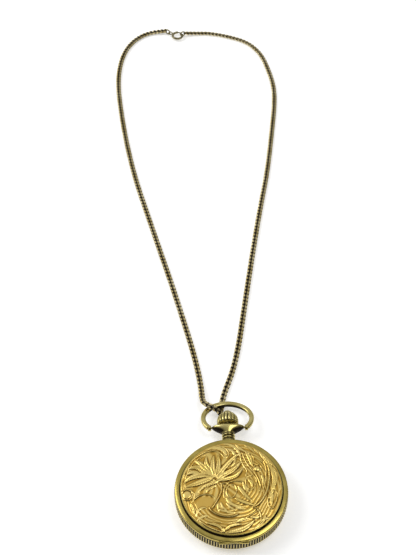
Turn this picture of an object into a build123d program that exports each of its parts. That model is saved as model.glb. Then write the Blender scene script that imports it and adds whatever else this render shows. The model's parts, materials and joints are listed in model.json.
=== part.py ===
from build123d import *
import math
import os

os.makedirs("parts", exist_ok=True)

# A hunter-cased pendant watch on a curb-chain necklace. The origin is the centre of the flat
# of the back cover, +Z points out through the lid and +Y runs up the pendant to the crown.

# Clearances that the fits share, and one overrun for the cuts
running_gap = 0.03
seat_gap = 0.02
part_line_gap = 0.03
overrun = 1.0

# Corners of the small turned pieces and their bores, the bosses, the hidden discs and the ovals
arbor_sides = 8
boss_sides = 14
disc_sides = 28
oval_sides = 32

# Case band: reeded all round, with a collar above for the bezel and one below for the back
case_radius = 21.0
reed_count = 128
reed_depth = 0.3
band_bottom = 3.4
band_height = 4.2
band_top = band_bottom + band_height
case_wall = 3.7
collar_inset = 3.1
bore_radius = case_radius - case_wall
collar_radius = case_radius - collar_inset
collar_height = 0.6
collar_top = band_top + collar_height
rehaut_width = 0.9
rehaut_radius = bore_radius - rehaut_width
rehaut_thickness = 0.85
stem_level = band_bottom + band_height / 2

# Front lid: polished margin, step, and the raised panel that carries the relief
lid_inset = 0.2
lid_clear = 0.15
bezel_wall = 0.3
lid_radius = case_radius - lid_inset
lid_recess_radius = collar_radius + bezel_wall + lid_clear
lid_margin_width = 1.9
lid_margin_height = 1.2
lid_edge_bevel = 0.3
panel_radius = lid_radius - lid_margin_width
panel_step = 0.9
panel_bevel = 0.45
panel_rise = 1.15
lid_wall = 0.55
lid_bottom = band_top + part_line_gap
lid_margin_top = band_top + lid_margin_height

# Lid hinge at six o'clock, its knuckles sunk in the band's top edge
knuckle_radius = 0.7
hinge_inset = 0.8
hinge_half_length = 5.45
knuckle_half_split = 1.8
hinge_pin_radius = 0.3
hinge_y = -(case_radius - hinge_inset)

# Springs in the case: the fly spring that lifts the lid and the catch that holds it
case_spring_bottom = 3.5
case_spring_width = 0.65
case_spring_thickness = 0.35
finger_width = 1.3
finger_thickness = 0.5
finger_offset = 0.8
finger_radius = collar_radius + finger_offset
finger_slot_gap = 0.35
finger_slot_inset = 0.1
fly_finger_angle = 250.0
fly_spring_angle = 62.0
catch_finger_angle = 79.0
catch_spring_angle = 56.0
catch_travel = 0.25
catch_rise = 0.5

# Back cover, snapped on from below
back_slope_width = 6.8
foot_radius = lid_radius - back_slope_width
back_wall = 0.6
back_rim_land = 0.5
back_bulge = 1.1

# Bezel and crystal
bezel_radius = collar_radius + bezel_wall
bezel_rise = 0.7
crystal_inset = 1.0
crystal_radius = collar_radius - crystal_inset
crystal_thickness = 0.85

# Pendant: tenon in the band, ringed neck, and the flared shoulders that the bow is pinned to
neck_radius = 2.15
neck_ring_radius = 2.55
flare_radius = 2.65
flare_height = 0.9
tenon_radius = 1.8
tenon_length = 2.2
pendant_offset = 0.05
pendant_start = case_radius + pendant_offset
neck_length = 3.85
neck_ring_share = 0.42
neck_second_ring_share = 0.74
neck_ring_half_share = 0.1
shoulder_width = 12.6
shoulder_depth = 5.6
shoulder_rise = 2.7
shoulder_crown = 0.7
shoulder_top_share = 0.8
sleeve_radius = 1.3
sleeve_reach = 1.75
sleeve_sunk = 2.6
neck_end = pendant_start + neck_length
pivot_y = neck_end + shoulder_rise
shoulder_top = pivot_y + shoulder_crown

# Bow: an oval ring with thinner arms, lying a little dropped, and its two pins
bow_drop_angle = 12.0
bow_half_width = 10.2
bow_reach = 12.6
bow_belly = 4.6
bow_bar = 2.0
bow_thickness = 1.7
bow_edge = 0.4
bow_eye_radius = 1.15
bow_eye_width = 1.2
bow_pin_radius = 0.42
bow_pin_depth = 1.6
bow_pin_head = 0.15

# Crown and stem
crown_radius = 4.15
crown_clear = 0.6
crown_length = 5.1
crown_flutes = 18
flute_root_share = 0.91
crown_profile_shares = ((0.0, 0.84), (0.1, 1.0), (0.5, 0.98), (0.82, 0.74), (1.0, 0.46))
crown_recess_radius = 1.5
crown_recess_depth = 1.75
crown_cap_radius = 1.65
crown_cap_height = 0.7
stem_radius = 0.6
stem_pilot_radius = 0.35
stem_start_share = 0.5607
stem_start = stem_start_share * bore_radius
stem_square_start_share = 0.5954
stem_square_start = stem_square_start_share * bore_radius
stem_square = 0.8
stem_square_end_share = 0.8035
stem_square_end = stem_square_end_share * bore_radius
groove_start_share = 0.8671
groove_start = groove_start_share * bore_radius
groove_width = 0.5
groove_radius = 0.38
stem_grip = 2.4
crown_start = shoulder_top + crown_clear

# Movement levels, from the wheels under the bridges up to the dial
cock_bottom = 2.9
cock_thickness = 0.6
cock_neck_width = 2.0
cock_foot_width = 3.6
cock_head_radius = 1.3
cock_foot_radius = 1.8
cock_foot_inset = 0.5
ratchet_bottom = 3.0
ratchet_thickness = 0.4
bridge_bottom = 3.5
bridge_thickness = 0.7
bridge_top = bridge_bottom + bridge_thickness
plate_bottom = 5.6
plate_thickness = 0.7
plate_top = plate_bottom + plate_thickness
plate_radius = bore_radius - seat_gap
plate_rim_width = 1.9
bridge_inset = 0.7
plate_rim_radius = bore_radius - plate_rim_width
bridge_radius = bore_radius - bridge_inset
dial_bottom = 6.9
dial_thickness = 0.4
dial_top = dial_bottom + dial_thickness

# Places of the movement's arbors, seen from the dial, in shares of the case's bore
centre_place = (0.0, 0.0)
barrel_share = (0.3815, 0.3006)
barrel_place = (barrel_share[0] * bore_radius, barrel_share[1] * bore_radius)
third_share = (0.1549, -0.2711)
third_place = (third_share[0] * bore_radius, third_share[1] * bore_radius)
fourth_share = (0.0000, -0.4740)
fourth_place = (fourth_share[0] * bore_radius, fourth_share[1] * bore_radius)
escape_share = (-0.2081, -0.6012)
escape_place = (escape_share[0] * bore_radius, escape_share[1] * bore_radius)
pallet_share = (-0.3526, -0.4855)
pallet_place = (pallet_share[0] * bore_radius, pallet_share[1] * bore_radius)
balance_share = (-0.5896, -0.2601)
balance_place = (balance_share[0] * bore_radius, balance_share[1] * bore_radius)
crown_wheel_share = (0.1040, 0.6740)
crown_wheel_place = (crown_wheel_share[0] * bore_radius, crown_wheel_share[1] * bore_radius)
minute_wheel_share = (0.0000, 0.1387)
minute_wheel_place = (minute_wheel_share[0] * bore_radius, minute_wheel_share[1] * bore_radius)
carrier_wheel_share = (0.0000, 0.3260)
carrier_wheel_place = (carrier_wheel_share[0] * bore_radius, carrier_wheel_share[1] * bore_radius)
setting_wheel_share = (0.0000, 0.4994)
setting_wheel_place = (setting_wheel_share[0] * bore_radius, setting_wheel_share[1] * bore_radius)
setting_lever_share = (0.1850, 0.8960)
setting_lever_place = (setting_lever_share[0] * bore_radius, setting_lever_share[1] * bore_radius)
yoke_share = (-0.1965, 0.7746)
yoke_place = (yoke_share[0] * bore_radius, yoke_share[1] * bore_radius)
click_share = (0.7052, 0.1503)
click_place = (click_share[0] * bore_radius, click_share[1] * bore_radius)

# Teeth of the going train, the winding work and the motion work
barrel_teeth = 60
centre_pinion_leaves = 10
centre_teeth = 48
third_pinion_leaves = 6
third_teeth = 45
fourth_pinion_leaves = 6
fourth_teeth = 48
escape_pinion_leaves = 6
escape_teeth = 15
ratchet_teeth = 36
crown_wheel_teeth = 24
winding_pinion_leaves = 10
cannon_teeth = 10
minute_wheel_teeth = 30
minute_pinion_leaves = 8
hour_wheel_teeth = 32
carrier_wheel_teeth = 24
setting_wheel_teeth = 26

# Wheels and arbors
tooth_depth = 0.24
fine_tooth_depth = 0.18
wheel_thickness = 0.18
arbor_radius = 0.25
pivot_depth = 0.4
pinion_height = 0.45
wheel_hole_share = 0.84
wheel_arm_share = 0.16
barrel_bottom = 4.6
barrel_drum_height = 0.5
barrel_rim_height = 0.4
barrel_floor = 0.25
barrel_wall = 0.35
barrel_drum_inset = 0.85
barrel_arbor_radius = 0.9
barrel_pivot_radius = 0.5
mainspring_turns = 3
mainspring_thickness = 0.3
centre_wheel_bottom = 4.28
centre_pinion_bottom = 5.05
centre_arbor_radius = 0.5
cannon_arbor_radius = 0.28
third_wheel_bottom = 4.8
third_pinion_bottom = 4.25
fourth_wheel_bottom = 5.2
fourth_pinion_bottom = 4.65
escape_wheel_bottom = 4.62
escape_pinion_bottom = 5.05
escape_reach_share = 0.781
escape_tooth_depth = 0.6
fork_width = 0.5
fork_thickness = 0.2
fork_gap = 0.15
anchor_half_span_share = 0.531
anchor_reach_share = 0.375
balance_radius_share = 0.3006
balance_radius = balance_radius_share * bore_radius
balance_rim = 0.6
balance_bottom = 4.0
balance_thickness = 0.3
balance_arm = 0.7
roller_radius = 0.8
roller_height = 0.3
hairspring_bottom = 3.66
hairspring_height = 0.14
hairspring_radius = balance_radius / 2
hairspring_turns = 3
hairspring_thickness = 0.12
crown_wheel_rim_height = 1.2
crown_wheel_rim = 0.6
winding_pinion_start_share = 0.7803
winding_pinion_start = winding_pinion_start_share * bore_radius
winding_pinion_length_share = 0.0578
winding_pinion_length = winding_pinion_length_share * bore_radius
winding_pinion_pitch_radius = 1.18
clutch_start_share = 0.6329
clutch_start = clutch_start_share * bore_radius
clutch_length_share = 0.1301
clutch_length = clutch_length_share * bore_radius
clutch_radius = 1.0
clutch_groove_radius = 0.75
clutch_groove_width = 0.5
lever_thickness = 0.2
lever_level = plate_top + 0.2 * wheel_thickness
lever_eye_radius = 0.75
stem_pin_radius = 0.2
click_nose_length_share = 0.1445
click_nose_length = click_nose_length_share * bore_radius
post_radius = 0.3
ratchet_screw_radius = 1.6
crown_wheel_screw_radius = 1.3

# Hands and dial
hour_level = 6.62
dial_foot_angles = (200.0, 20.0)
cannon_radius = 0.5
cannon_pitch_radius = 0.6
hour_pipe_radius = 0.85
hour_hand_bottom = 7.7
minute_hand_bottom = 8.0
hand_thickness = 0.12
hour_hand_length_share = 0.4855
hour_hand_length = hour_hand_length_share * bore_radius
minute_hand_length_share = 0.7746
minute_hand_length = minute_hand_length_share * bore_radius
hour_hand_width = 1.6
minute_hand_width = 1.2
hand_boss_radius = 1.2
seconds_hand_length_share = 0.1676
seconds_hand_length = seconds_hand_length_share * bore_radius
seconds_hand_width = 0.3
seconds_hand_bottom = 7.38
seconds_boss_radius = 0.5
dial_centre_radius = 1.0
seconds_sink_radius_share = 0.2139
seconds_sink_radius = seconds_sink_radius_share * bore_radius
seconds_sink_depth = 0.1
seconds_hole_radius = 0.35

# Bridge screws, by angle round the plate's rim
screw_ring_radius = (plate_rim_radius + bridge_radius) / 2
screw_head_radius = 0.55
screw_head_height = 0.35
screw_shank_radius = 0.3
screw_shank_length = 1.3
bridge_screw_angles = (118.0, 30.0, -18.0, -72.0)
cock_screw_angle = 161.0
pallet_screw_angle = 244.5

# Necklace: twisted curb links of one size, two end rings and the spring ring
link_pitch = 1.906
link_wire = 0.5
link_play = 0.08
link_width = 1.9
link_twist_angle = 35.0
ring_wire_radius = 0.24
end_ring_radius = 1.35
ring_sides = 5
wire_corners = 4
left_strand_share = 0.49
corner_round_share = 0.45
clasp_centre = (-16.0, 265.0)
clasp_level = 1.35
end_ring_level = 1.6
clasp_ring_radius = 2.5
clasp_tube_radius = 0.6
clasp_bore_radius = 0.36
clasp_bolt_radius = 0.32
clasp_gap_start_angle = 85.0
clasp_gap_angle = 70.0
clasp_slide_angle = 38.0
clasp_bolt_grip_angle = 18.0
clasp_spare_angle = 2.0
clasp_nub_height = 0.9
clasp_nub_width_angle = 8.0
clasp_eye_radius = 0.95
clasp_eye_wire_radius = 0.3
clasp_eye_offset = 4.2
left_line_angle = 150.0
left_ring_offset = 5.85
right_line_angle = 21.0
right_ring_offset = 2.9


def toothed_points(teeth, pitch_radius, depth, lead_share=0.0):
    """Corners of a wheel's edge, two to each pointed tooth. The first tooth leads by a share."""
    points = []
    for step in range(2 * teeth):
        radius = pitch_radius + depth / 2 if step % 2 == 0 else pitch_radius - depth / 2
        angle = math.pi * (step + 2 * lead_share) / teeth
        points.append((radius * math.cos(angle), radius * math.sin(angle)))
    return points


def spiral_points(inner_radius, outer_radius, turns, thickness, steps_per_turn=12):
    """Outline of a flat coiled strip, out along one side and back along the other."""
    outer_side, inner_side = [], []
    count = turns * steps_per_turn
    for step in range(count + 1):
        radius = inner_radius + (outer_radius - inner_radius) * step / count
        angle = 2 * math.pi * step / steps_per_turn
        for side, reach in ((outer_side, radius), (inner_side, radius - thickness)):
            side.append((reach * math.cos(angle), reach * math.sin(angle)))
    return outer_side + inner_side[::-1]


def oval_points(half_width, half_height):
    """Corners of an oval, the first on its wide side."""
    return [(half_width * math.cos(2 * math.pi * step / oval_sides),
             half_height * math.sin(2 * math.pi * step / oval_sides))
            for step in range(oval_sides)]


def distance(first, second):
    return math.hypot(second[0] - first[0], second[1] - first[1])


def direction(first, second):
    return math.degrees(math.atan2(second[1] - first[1], second[0] - first[0]))


def pitch_radii(first, second, first_teeth, second_teeth):
    """Pitch radii of two meshing wheels, which share the distance of their arbors."""
    span = distance(first, second)
    return (span * first_teeth / (first_teeth + second_teeth),
            span * second_teeth / (first_teeth + second_teeth))


def mesh_share(first, second, first_teeth, second_teeth, first_share=0.0):
    """Lead of the second wheel that lays its gap over the first wheel's tooth."""
    line = direction(first, second) / 360
    return (line + 0.5) * second_teeth + line * first_teeth - first_share - 0.5


def around(radius, angle):
    return (radius * math.cos(math.radians(angle)), radius * math.sin(math.radians(angle)))


def bar_points(start, end, width, end_width=None):
    """Corners of a straight bar from one point to another, tapered if its end has a width."""
    span = distance(start, end)
    side = ((start[1] - end[1]) / span, (end[0] - start[0]) / span)
    half, end_half = width / 2, (width if end_width is None else end_width) / 2
    return [(start[0] + side[0] * half, start[1] + side[1] * half),
            (start[0] - side[0] * half, start[1] - side[1] * half),
            (end[0] - side[0] * end_half, end[1] - side[1] * end_half),
            (end[0] + side[0] * end_half, end[1] + side[1] * end_half)]


def dome_middle(reach, top, rise):
    """Point half-way out on the arc of a dome that stands level on its axis."""
    dome_radius = (reach ** 2 + rise ** 2) / (2 * rise)
    return (reach / 2, top - dome_radius + math.sqrt(dome_radius ** 2 - (reach / 2) ** 2))


def across(y):
    """Plane square to the pendant's axis, facing the crown."""
    return Plane(origin=(0, y, stem_level), x_dir=(1, 0, 0), z_dir=(0, 1, 0))


pendant_axis = Axis((0, 0, stem_level), (0, 1, 0))
pieces = {}

# Case band
with BuildPart() as case_band:
    with BuildSketch(Plane.XY.offset(band_bottom)):
        Polygon(*toothed_points(reed_count, case_radius - reed_depth / 2, reed_depth), align=None)
        Circle(rehaut_radius, mode=Mode.SUBTRACT)
    extrude(amount=band_height)
    with BuildSketch(Plane.XY.offset(band_top)):
        Circle(collar_radius)
        Circle(rehaut_radius, mode=Mode.SUBTRACT)
    extrude(amount=collar_height)
    with BuildSketch(Plane.XY.offset(band_bottom - collar_height)):
        Circle(collar_radius)
        Circle(rehaut_radius, mode=Mode.SUBTRACT)
    extrude(amount=collar_height)
    with BuildSketch(Plane.XY.offset(band_bottom - collar_height)):
        Circle(bore_radius)
    extrude(amount=collar_top - rehaut_thickness - band_bottom + collar_height, mode=Mode.SUBTRACT)
    # The pendant's tenon and the stem pass through the wall
    with BuildSketch(across(pendant_start - tenon_length)):
        RegularPolygon(tenon_radius + seat_gap, boss_sides, major_radius=False)
    extrude(amount=tenon_length + overrun, mode=Mode.SUBTRACT)
    with BuildSketch(across(plate_rim_radius)):
        RegularPolygon(stem_radius + 2 * running_gap, arbor_sides, major_radius=False)
    extrude(amount=case_radius - plate_rim_radius, mode=Mode.SUBTRACT)
    # Slots for the fly spring's finger and the catch
    for finger_angle in (fly_finger_angle, catch_finger_angle):
        with BuildSketch(Plane.XY.offset(band_bottom - collar_height - overrun)):
            Polygon(*bar_points(around(bore_radius - finger_slot_inset, finger_angle),
                                around(finger_radius + finger_thickness / 2 + finger_slot_gap,
                                       finger_angle),
                                finger_width + 2 * finger_slot_gap), align=None)
        extrude(amount=band_height + collar_height + overrun, mode=Mode.SUBTRACT)
    # Beds for the lid's knuckles, and the edge in front of the case's own knuckle
    knuckle_bed = knuckle_radius + 2 * part_line_gap
    for side in (-1, 1):
        with BuildSketch(Plane.XY.offset(band_top - knuckle_bed)):
            with Locations((side * (knuckle_half_split + hinge_half_length) / 2,
                            hinge_y + knuckle_bed)):
                Rectangle(hinge_half_length - knuckle_half_split + 2 * part_line_gap,
                          case_radius, align=(Align.CENTER, Align.MAX))
        extrude(amount=knuckle_bed + overrun, mode=Mode.SUBTRACT)
    with BuildSketch(Plane.XY.offset(band_top - knuckle_bed)):
        with Locations((0, hinge_y - knuckle_radius + part_line_gap)):
            Rectangle(2 * knuckle_half_split, case_radius, align=(Align.CENTER, Align.MAX))
    extrude(amount=knuckle_bed + overrun, mode=Mode.SUBTRACT)
    with BuildSketch(Plane.YZ.offset(-(knuckle_half_split - part_line_gap))):
        with Locations((hinge_y, band_top)):
            RegularPolygon(knuckle_radius, boss_sides)
    extrude(amount=2 * (knuckle_half_split - part_line_gap))
    with BuildSketch(Plane.YZ.offset(-knuckle_half_split)):
        with Locations((hinge_y, band_top)):
            RegularPolygon(hinge_pin_radius + seat_gap, arbor_sides, major_radius=False)
    extrude(amount=2 * knuckle_half_split, mode=Mode.SUBTRACT)
pieces["case_band"] = case_band.part

# Front lid
panel_top = lid_margin_top + panel_step
dome_top = panel_top + panel_bevel + panel_rise
with BuildPart() as front_lid:
    with BuildSketch(Plane.XZ):
        with BuildLine():
            Polyline((lid_recess_radius, lid_bottom), (lid_radius, lid_bottom),
                     (lid_radius, lid_margin_top - lid_edge_bevel),
                     (lid_radius - lid_edge_bevel, lid_margin_top),
                     (panel_radius, lid_margin_top), (panel_radius, panel_top),
                     (panel_radius - panel_bevel, panel_top + panel_bevel))
            Polyline((panel_radius - panel_bevel, panel_top + panel_bevel),
                     dome_middle(panel_radius - panel_bevel, dome_top, panel_rise),
                     (0, dome_top), (0, dome_top - lid_wall),
                     dome_middle(lid_recess_radius, dome_top - lid_wall, panel_rise),
                     (lid_recess_radius, dome_top - panel_rise - lid_wall),
                     (lid_recess_radius, lid_bottom))
        make_face()
    revolve(axis=Axis.Z)
    # Room for the case's knuckle and for the catch
    with BuildSketch(Plane.XY.offset(lid_bottom - overrun)):
        with Locations((0, hinge_y + knuckle_radius + 2 * part_line_gap)):
            Rectangle(2 * knuckle_half_split, case_radius, align=(Align.CENTER, Align.MAX))
    extrude(amount=band_top + knuckle_radius + part_line_gap - lid_bottom + overrun,
            mode=Mode.SUBTRACT)
    with BuildSketch(Plane.XY.offset(lid_bottom - overrun)):
        Polygon(*bar_points(around(lid_recess_radius - finger_slot_inset, catch_finger_angle),
                            around(finger_radius + finger_thickness / 2 + finger_slot_gap,
                                   catch_finger_angle),
                            finger_width + 2 * finger_slot_gap), align=None)
    extrude(amount=catch_rise + finger_slot_gap / 2 + overrun, mode=Mode.SUBTRACT)
    for side in (-1, 1):
        knuckle_start = side * hinge_half_length if side < 0 else knuckle_half_split
        with BuildSketch(Plane.YZ.offset(knuckle_start)):
            with Locations((hinge_y, band_top)):
                RegularPolygon(knuckle_radius, boss_sides)
        extrude(amount=hinge_half_length - knuckle_half_split)
        with BuildSketch(Plane.YZ.offset(knuckle_start)):
            with Locations((hinge_y, band_top)):
                RegularPolygon(hinge_pin_radius + running_gap, arbor_sides, major_radius=False)
        extrude(amount=hinge_half_length - knuckle_half_split, mode=Mode.SUBTRACT)
pieces["front_lid"] = front_lid.part

with BuildPart() as lid_hinge_pin:
    with BuildSketch(Plane.YZ.offset(-hinge_half_length)):
        with Locations((hinge_y, band_top)):
            RegularPolygon(hinge_pin_radius, arbor_sides)
    extrude(amount=2 * hinge_half_length)
pieces["lid_hinge_pin"] = lid_hinge_pin.part

# Fly spring and catch: strips along the bore wall, each with a finger up through the band
fly_strip = (fly_finger_angle - fly_spring_angle, fly_finger_angle)
catch_strip = (catch_finger_angle - catch_spring_angle, catch_finger_angle)
for name, strip, finger_angle, finger_top in (
        ("fly_spring", fly_strip, fly_finger_angle, band_top - part_line_gap),
        ("lid_catch", catch_strip, catch_finger_angle, band_top + catch_rise)):
    strip_outside = bore_radius - 2 * part_line_gap
    with BuildPart() as case_spring:
        with BuildSketch(Plane.XY.offset(case_spring_bottom)):
            Circle(strip_outside)
            Circle(strip_outside - case_spring_thickness, mode=Mode.SUBTRACT)
            Polygon((0, 0), around(2 * case_radius, strip[0]), around(2 * case_radius, strip[1]),
                    align=None, mode=Mode.INTERSECT)
            Polygon(*bar_points(around(strip_outside - case_spring_thickness, finger_angle),
                                around(finger_radius + finger_thickness / 2, finger_angle),
                                finger_width), align=None)
        extrude(amount=case_spring_width)
        with BuildSketch(Plane.XY.offset(case_spring_bottom)):
            Polygon(*bar_points(around(finger_radius - finger_thickness / 2, finger_angle),
                                around(finger_radius + finger_thickness / 2, finger_angle),
                                finger_width), align=None)
        extrude(amount=finger_top - case_spring_bottom)
    pieces[name] = case_spring.part

# Back cover
with BuildPart() as back_cover:
    with BuildSketch(Plane.XZ):
        with BuildLine():
            Polyline((0, 0), (foot_radius, 0),
                     ((foot_radius + lid_radius) / 2 + back_bulge / 2,
                      (band_bottom - part_line_gap - back_rim_land) / 2 - back_bulge / 2),
                     (lid_radius, band_bottom - part_line_gap - back_rim_land),
                     (lid_radius, band_bottom - part_line_gap),
                     (collar_radius + part_line_gap, band_bottom - part_line_gap),
                     (collar_radius + part_line_gap,
                      band_bottom - collar_height - part_line_gap),
                     (foot_radius - part_line_gap, back_wall), (0, back_wall), (0, 0))
        make_face()
    revolve(axis=Axis.Z)
pieces["back_cover"] = back_cover.part

# Bezel and crystal
crystal_bottom = collar_top + seat_gap
with BuildPart() as bezel:
    with BuildSketch(Plane.XZ):
        with BuildLine():
            Polyline((collar_radius + part_line_gap, band_top + seat_gap),
                     (bezel_radius, band_top + seat_gap),
                     (bezel_radius, collar_top + bezel_rise),
                     (crystal_radius + seat_gap, collar_top + bezel_rise),
                     (crystal_radius + seat_gap, crystal_bottom),
                     (collar_radius + part_line_gap, crystal_bottom), close=True)
        make_face()
    revolve(axis=Axis.Z)
pieces["bezel"] = bezel.part

with BuildPart() as crystal:
    with BuildSketch(Plane.XY.offset(crystal_bottom)):
        Circle(crystal_radius)
    extrude(amount=crystal_thickness)
pieces["crystal"] = crystal.part

# Pendant: saddle on the band, ringed neck, and lofted shoulders with the bow's pin bores
ring_half = neck_ring_half_share * neck_length
with BuildPart() as pendant:
    with BuildSketch(Plane.XY.offset(stem_level)):
        with BuildLine():
            neck_line = [(0, case_radius - reed_depth), (flare_radius, case_radius - reed_depth),
                         (flare_radius, pendant_start + flare_height / 3),
                         (neck_radius, pendant_start + flare_height)]
            for ring_share in (neck_ring_share, neck_second_ring_share):
                ring_y = pendant_start + ring_share * neck_length
                neck_line += [(neck_radius, ring_y - ring_half), (neck_ring_radius, ring_y),
                              (neck_radius, ring_y + ring_half)]
            neck_line += [(neck_radius, neck_end), (0, neck_end)]
            Polyline(*neck_line, close=True)
        make_face()
    revolve(axis=pendant_axis)
    with BuildSketch(Plane.XY):
        Circle(case_radius + part_line_gap)
    extrude(amount=lid_margin_top, mode=Mode.SUBTRACT)
    shoulder_stations = (
        (neck_end, neck_radius, neck_radius),
        (neck_end + shoulder_rise / 2, shoulder_width / 3, shoulder_depth / 2 - shoulder_crown / 2),
        (pivot_y, shoulder_width / 2, shoulder_depth / 2),
        (shoulder_top, shoulder_top_share * shoulder_width / 2,
         shoulder_top_share * shoulder_depth / 2))
    for low_station, high_station in zip(shoulder_stations, shoulder_stations[1:]):
        for station_y, half_width, half_height in (low_station, high_station):
            with BuildSketch(across(station_y)):
                Polygon(*oval_points(half_width, half_height), align=None)
        loft(ruled=True)
    with BuildSketch(across(pendant_start - tenon_length)):
        RegularPolygon(tenon_radius, boss_sides)
    extrude(amount=tenon_length + flare_height)
    with BuildSketch(across(pendant_start - tenon_length)):
        RegularPolygon(stem_radius + 2 * running_gap, arbor_sides, major_radius=False)
    extrude(amount=shoulder_top - pendant_start + tenon_length, mode=Mode.SUBTRACT)
    with BuildSketch(across(shoulder_top - sleeve_sunk)):
        RegularPolygon(sleeve_radius + seat_gap, boss_sides, major_radius=False)
    extrude(amount=sleeve_sunk, mode=Mode.SUBTRACT)
    for side in (-1, 1):
        bore_start = -shoulder_width / 2 - overrun if side < 0 else (
            shoulder_width / 2 - bow_pin_depth)
        with BuildSketch(Plane.YZ.offset(bore_start)):
            with Locations((pivot_y, stem_level)):
                RegularPolygon(bow_pin_radius + seat_gap, arbor_sides, major_radius=False)
        extrude(amount=bow_pin_depth + overrun, mode=Mode.SUBTRACT)
pieces["pendant"] = pendant.part

with BuildPart() as pendant_sleeve:
    with BuildSketch(across(shoulder_top - sleeve_sunk + seat_gap)):
        RegularPolygon(sleeve_radius, boss_sides)
        RegularPolygon(stem_radius + running_gap, arbor_sides, major_radius=False, mode=Mode.SUBTRACT)
    extrude(amount=sleeve_sunk + sleeve_reach - seat_gap)
pieces["pendant_sleeve"] = pendant_sleeve.part

# Bow, dropped about its pins
drop = math.radians(bow_drop_angle)
bow_plane = Plane(origin=(0, pivot_y, stem_level), x_dir=(1, 0, 0),
                  z_dir=(0, math.sin(drop), math.cos(drop)))
eye_inside = shoulder_width / 2 + 0.2 * bow_eye_width
with BuildPart() as bow:
    with BuildSketch(bow_plane.offset(-bow_thickness / 2)):
        with Locations((0, bow_belly)):
            Polygon(*oval_points(bow_half_width, bow_reach - bow_belly), align=None)
            Polygon(*oval_points(bow_half_width - 0.75 * bow_bar, bow_reach - bow_belly - bow_bar),
                    align=None, mode=Mode.SUBTRACT)
        Rectangle(2 * eye_inside, 2 * bow_bar, mode=Mode.SUBTRACT)
        with Locations((0, -bow_eye_radius + bow_edge / 2)):
            Rectangle(2 * bow_half_width, bow_reach, align=(Align.CENTER, Align.MAX),
                      mode=Mode.SUBTRACT)
    extrude(amount=bow_thickness)
    bow_normal = Axis(bow_plane.origin, bow_plane.z_dir)
    chamfer(bow.faces().sort_by(bow_normal)[0].edges() + bow.faces().sort_by(bow_normal)[-1].edges(),
            length=bow_edge)
    for side in (-1, 1):
        eye_start = -eye_inside - bow_eye_width if side < 0 else eye_inside
        with BuildSketch(Plane.YZ.offset(eye_start)):
            with Locations((pivot_y, stem_level)):
                RegularPolygon(bow_eye_radius, boss_sides)
        extrude(amount=bow_eye_width)
        with BuildSketch(Plane.YZ.offset(eye_start - overrun)):
            with Locations((pivot_y, stem_level)):
                RegularPolygon(bow_pin_radius + running_gap, arbor_sides, major_radius=False)
        extrude(amount=bow_eye_width + 2 * overrun, mode=Mode.SUBTRACT)
pieces["bow"] = bow.part

bow_pin_length = bow_pin_depth + eye_inside - shoulder_width / 2 + bow_eye_width + bow_pin_head
for name, bow_pin_start in (
        ("bow_pin_left", -eye_inside - bow_eye_width - bow_pin_head),
        ("bow_pin_right", shoulder_width / 2 - bow_pin_depth + seat_gap)):
    with BuildPart() as bow_pin:
        with BuildSketch(Plane.YZ.offset(bow_pin_start)):
            with Locations((pivot_y, stem_level)):
                RegularPolygon(bow_pin_radius, arbor_sides)
        extrude(amount=bow_pin_length - seat_gap)
    pieces[name] = bow_pin.part

# Crown: fluted lofts between its profile's stations, and a plain cap
with BuildPart() as crown:
    for (low_share, low_radius_share), (high_share, high_radius_share) in zip(
            crown_profile_shares, crown_profile_shares[1:]):
        for share, radius_share in ((low_share, low_radius_share), (high_share, high_radius_share)):
            tip = crown_radius * radius_share
            with BuildSketch(across(crown_start + share * crown_length)):
                Polygon(*toothed_points(crown_flutes, tip * (1 + flute_root_share) / 2,
                                        tip * (1 - flute_root_share)), align=None)
        loft(ruled=True)
    with BuildSketch(across(crown_start + crown_length)):
        RegularPolygon(crown_cap_radius, disc_sides)
    extrude(amount=crown_cap_height)
    with BuildSketch(across(crown_start)):
        RegularPolygon(crown_recess_radius, boss_sides, major_radius=False)
    extrude(amount=crown_recess_depth, mode=Mode.SUBTRACT)
    with BuildSketch(across(crown_start)):
        RegularPolygon(stem_radius + seat_gap, arbor_sides, major_radius=False)
    extrude(amount=crown_recess_depth + stem_grip + seat_gap, mode=Mode.SUBTRACT)
pieces["crown"] = crown.part

with BuildPart() as winding_stem:
    with BuildSketch(across(stem_start)):
        RegularPolygon(stem_pilot_radius, arbor_sides)
    extrude(amount=stem_square_start - stem_start)
    with BuildSketch(across(stem_square_start)):
        Rectangle(stem_square, stem_square)
    extrude(amount=stem_square_end - stem_square_start)
    with BuildSketch(across(stem_square_end)):
        RegularPolygon(stem_radius, arbor_sides)
    extrude(amount=crown_start + crown_recess_depth + stem_grip - stem_square_end)
    with BuildSketch(across(groove_start)):
        RegularPolygon(stem_radius + overrun, arbor_sides)
        RegularPolygon(groove_radius, arbor_sides, mode=Mode.SUBTRACT)
    extrude(amount=groove_width, mode=Mode.SUBTRACT)
pieces["winding_stem"] = winding_stem.part

# Places in the movement where arbors turn between the plate and a bridge
plate_pivots = (barrel_place, third_place, escape_place, pallet_place, balance_place)
bridge_level = Plane.XY.offset(bridge_bottom)
barrel_pitch_radius, centre_pinion_pitch_radius = pitch_radii(
    barrel_place, centre_place, barrel_teeth, centre_pinion_leaves)
barrel_drum_radius = barrel_pitch_radius - barrel_drum_inset
escape_span = distance(escape_place, pallet_place)
escape_radius = escape_reach_share * escape_span

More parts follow.
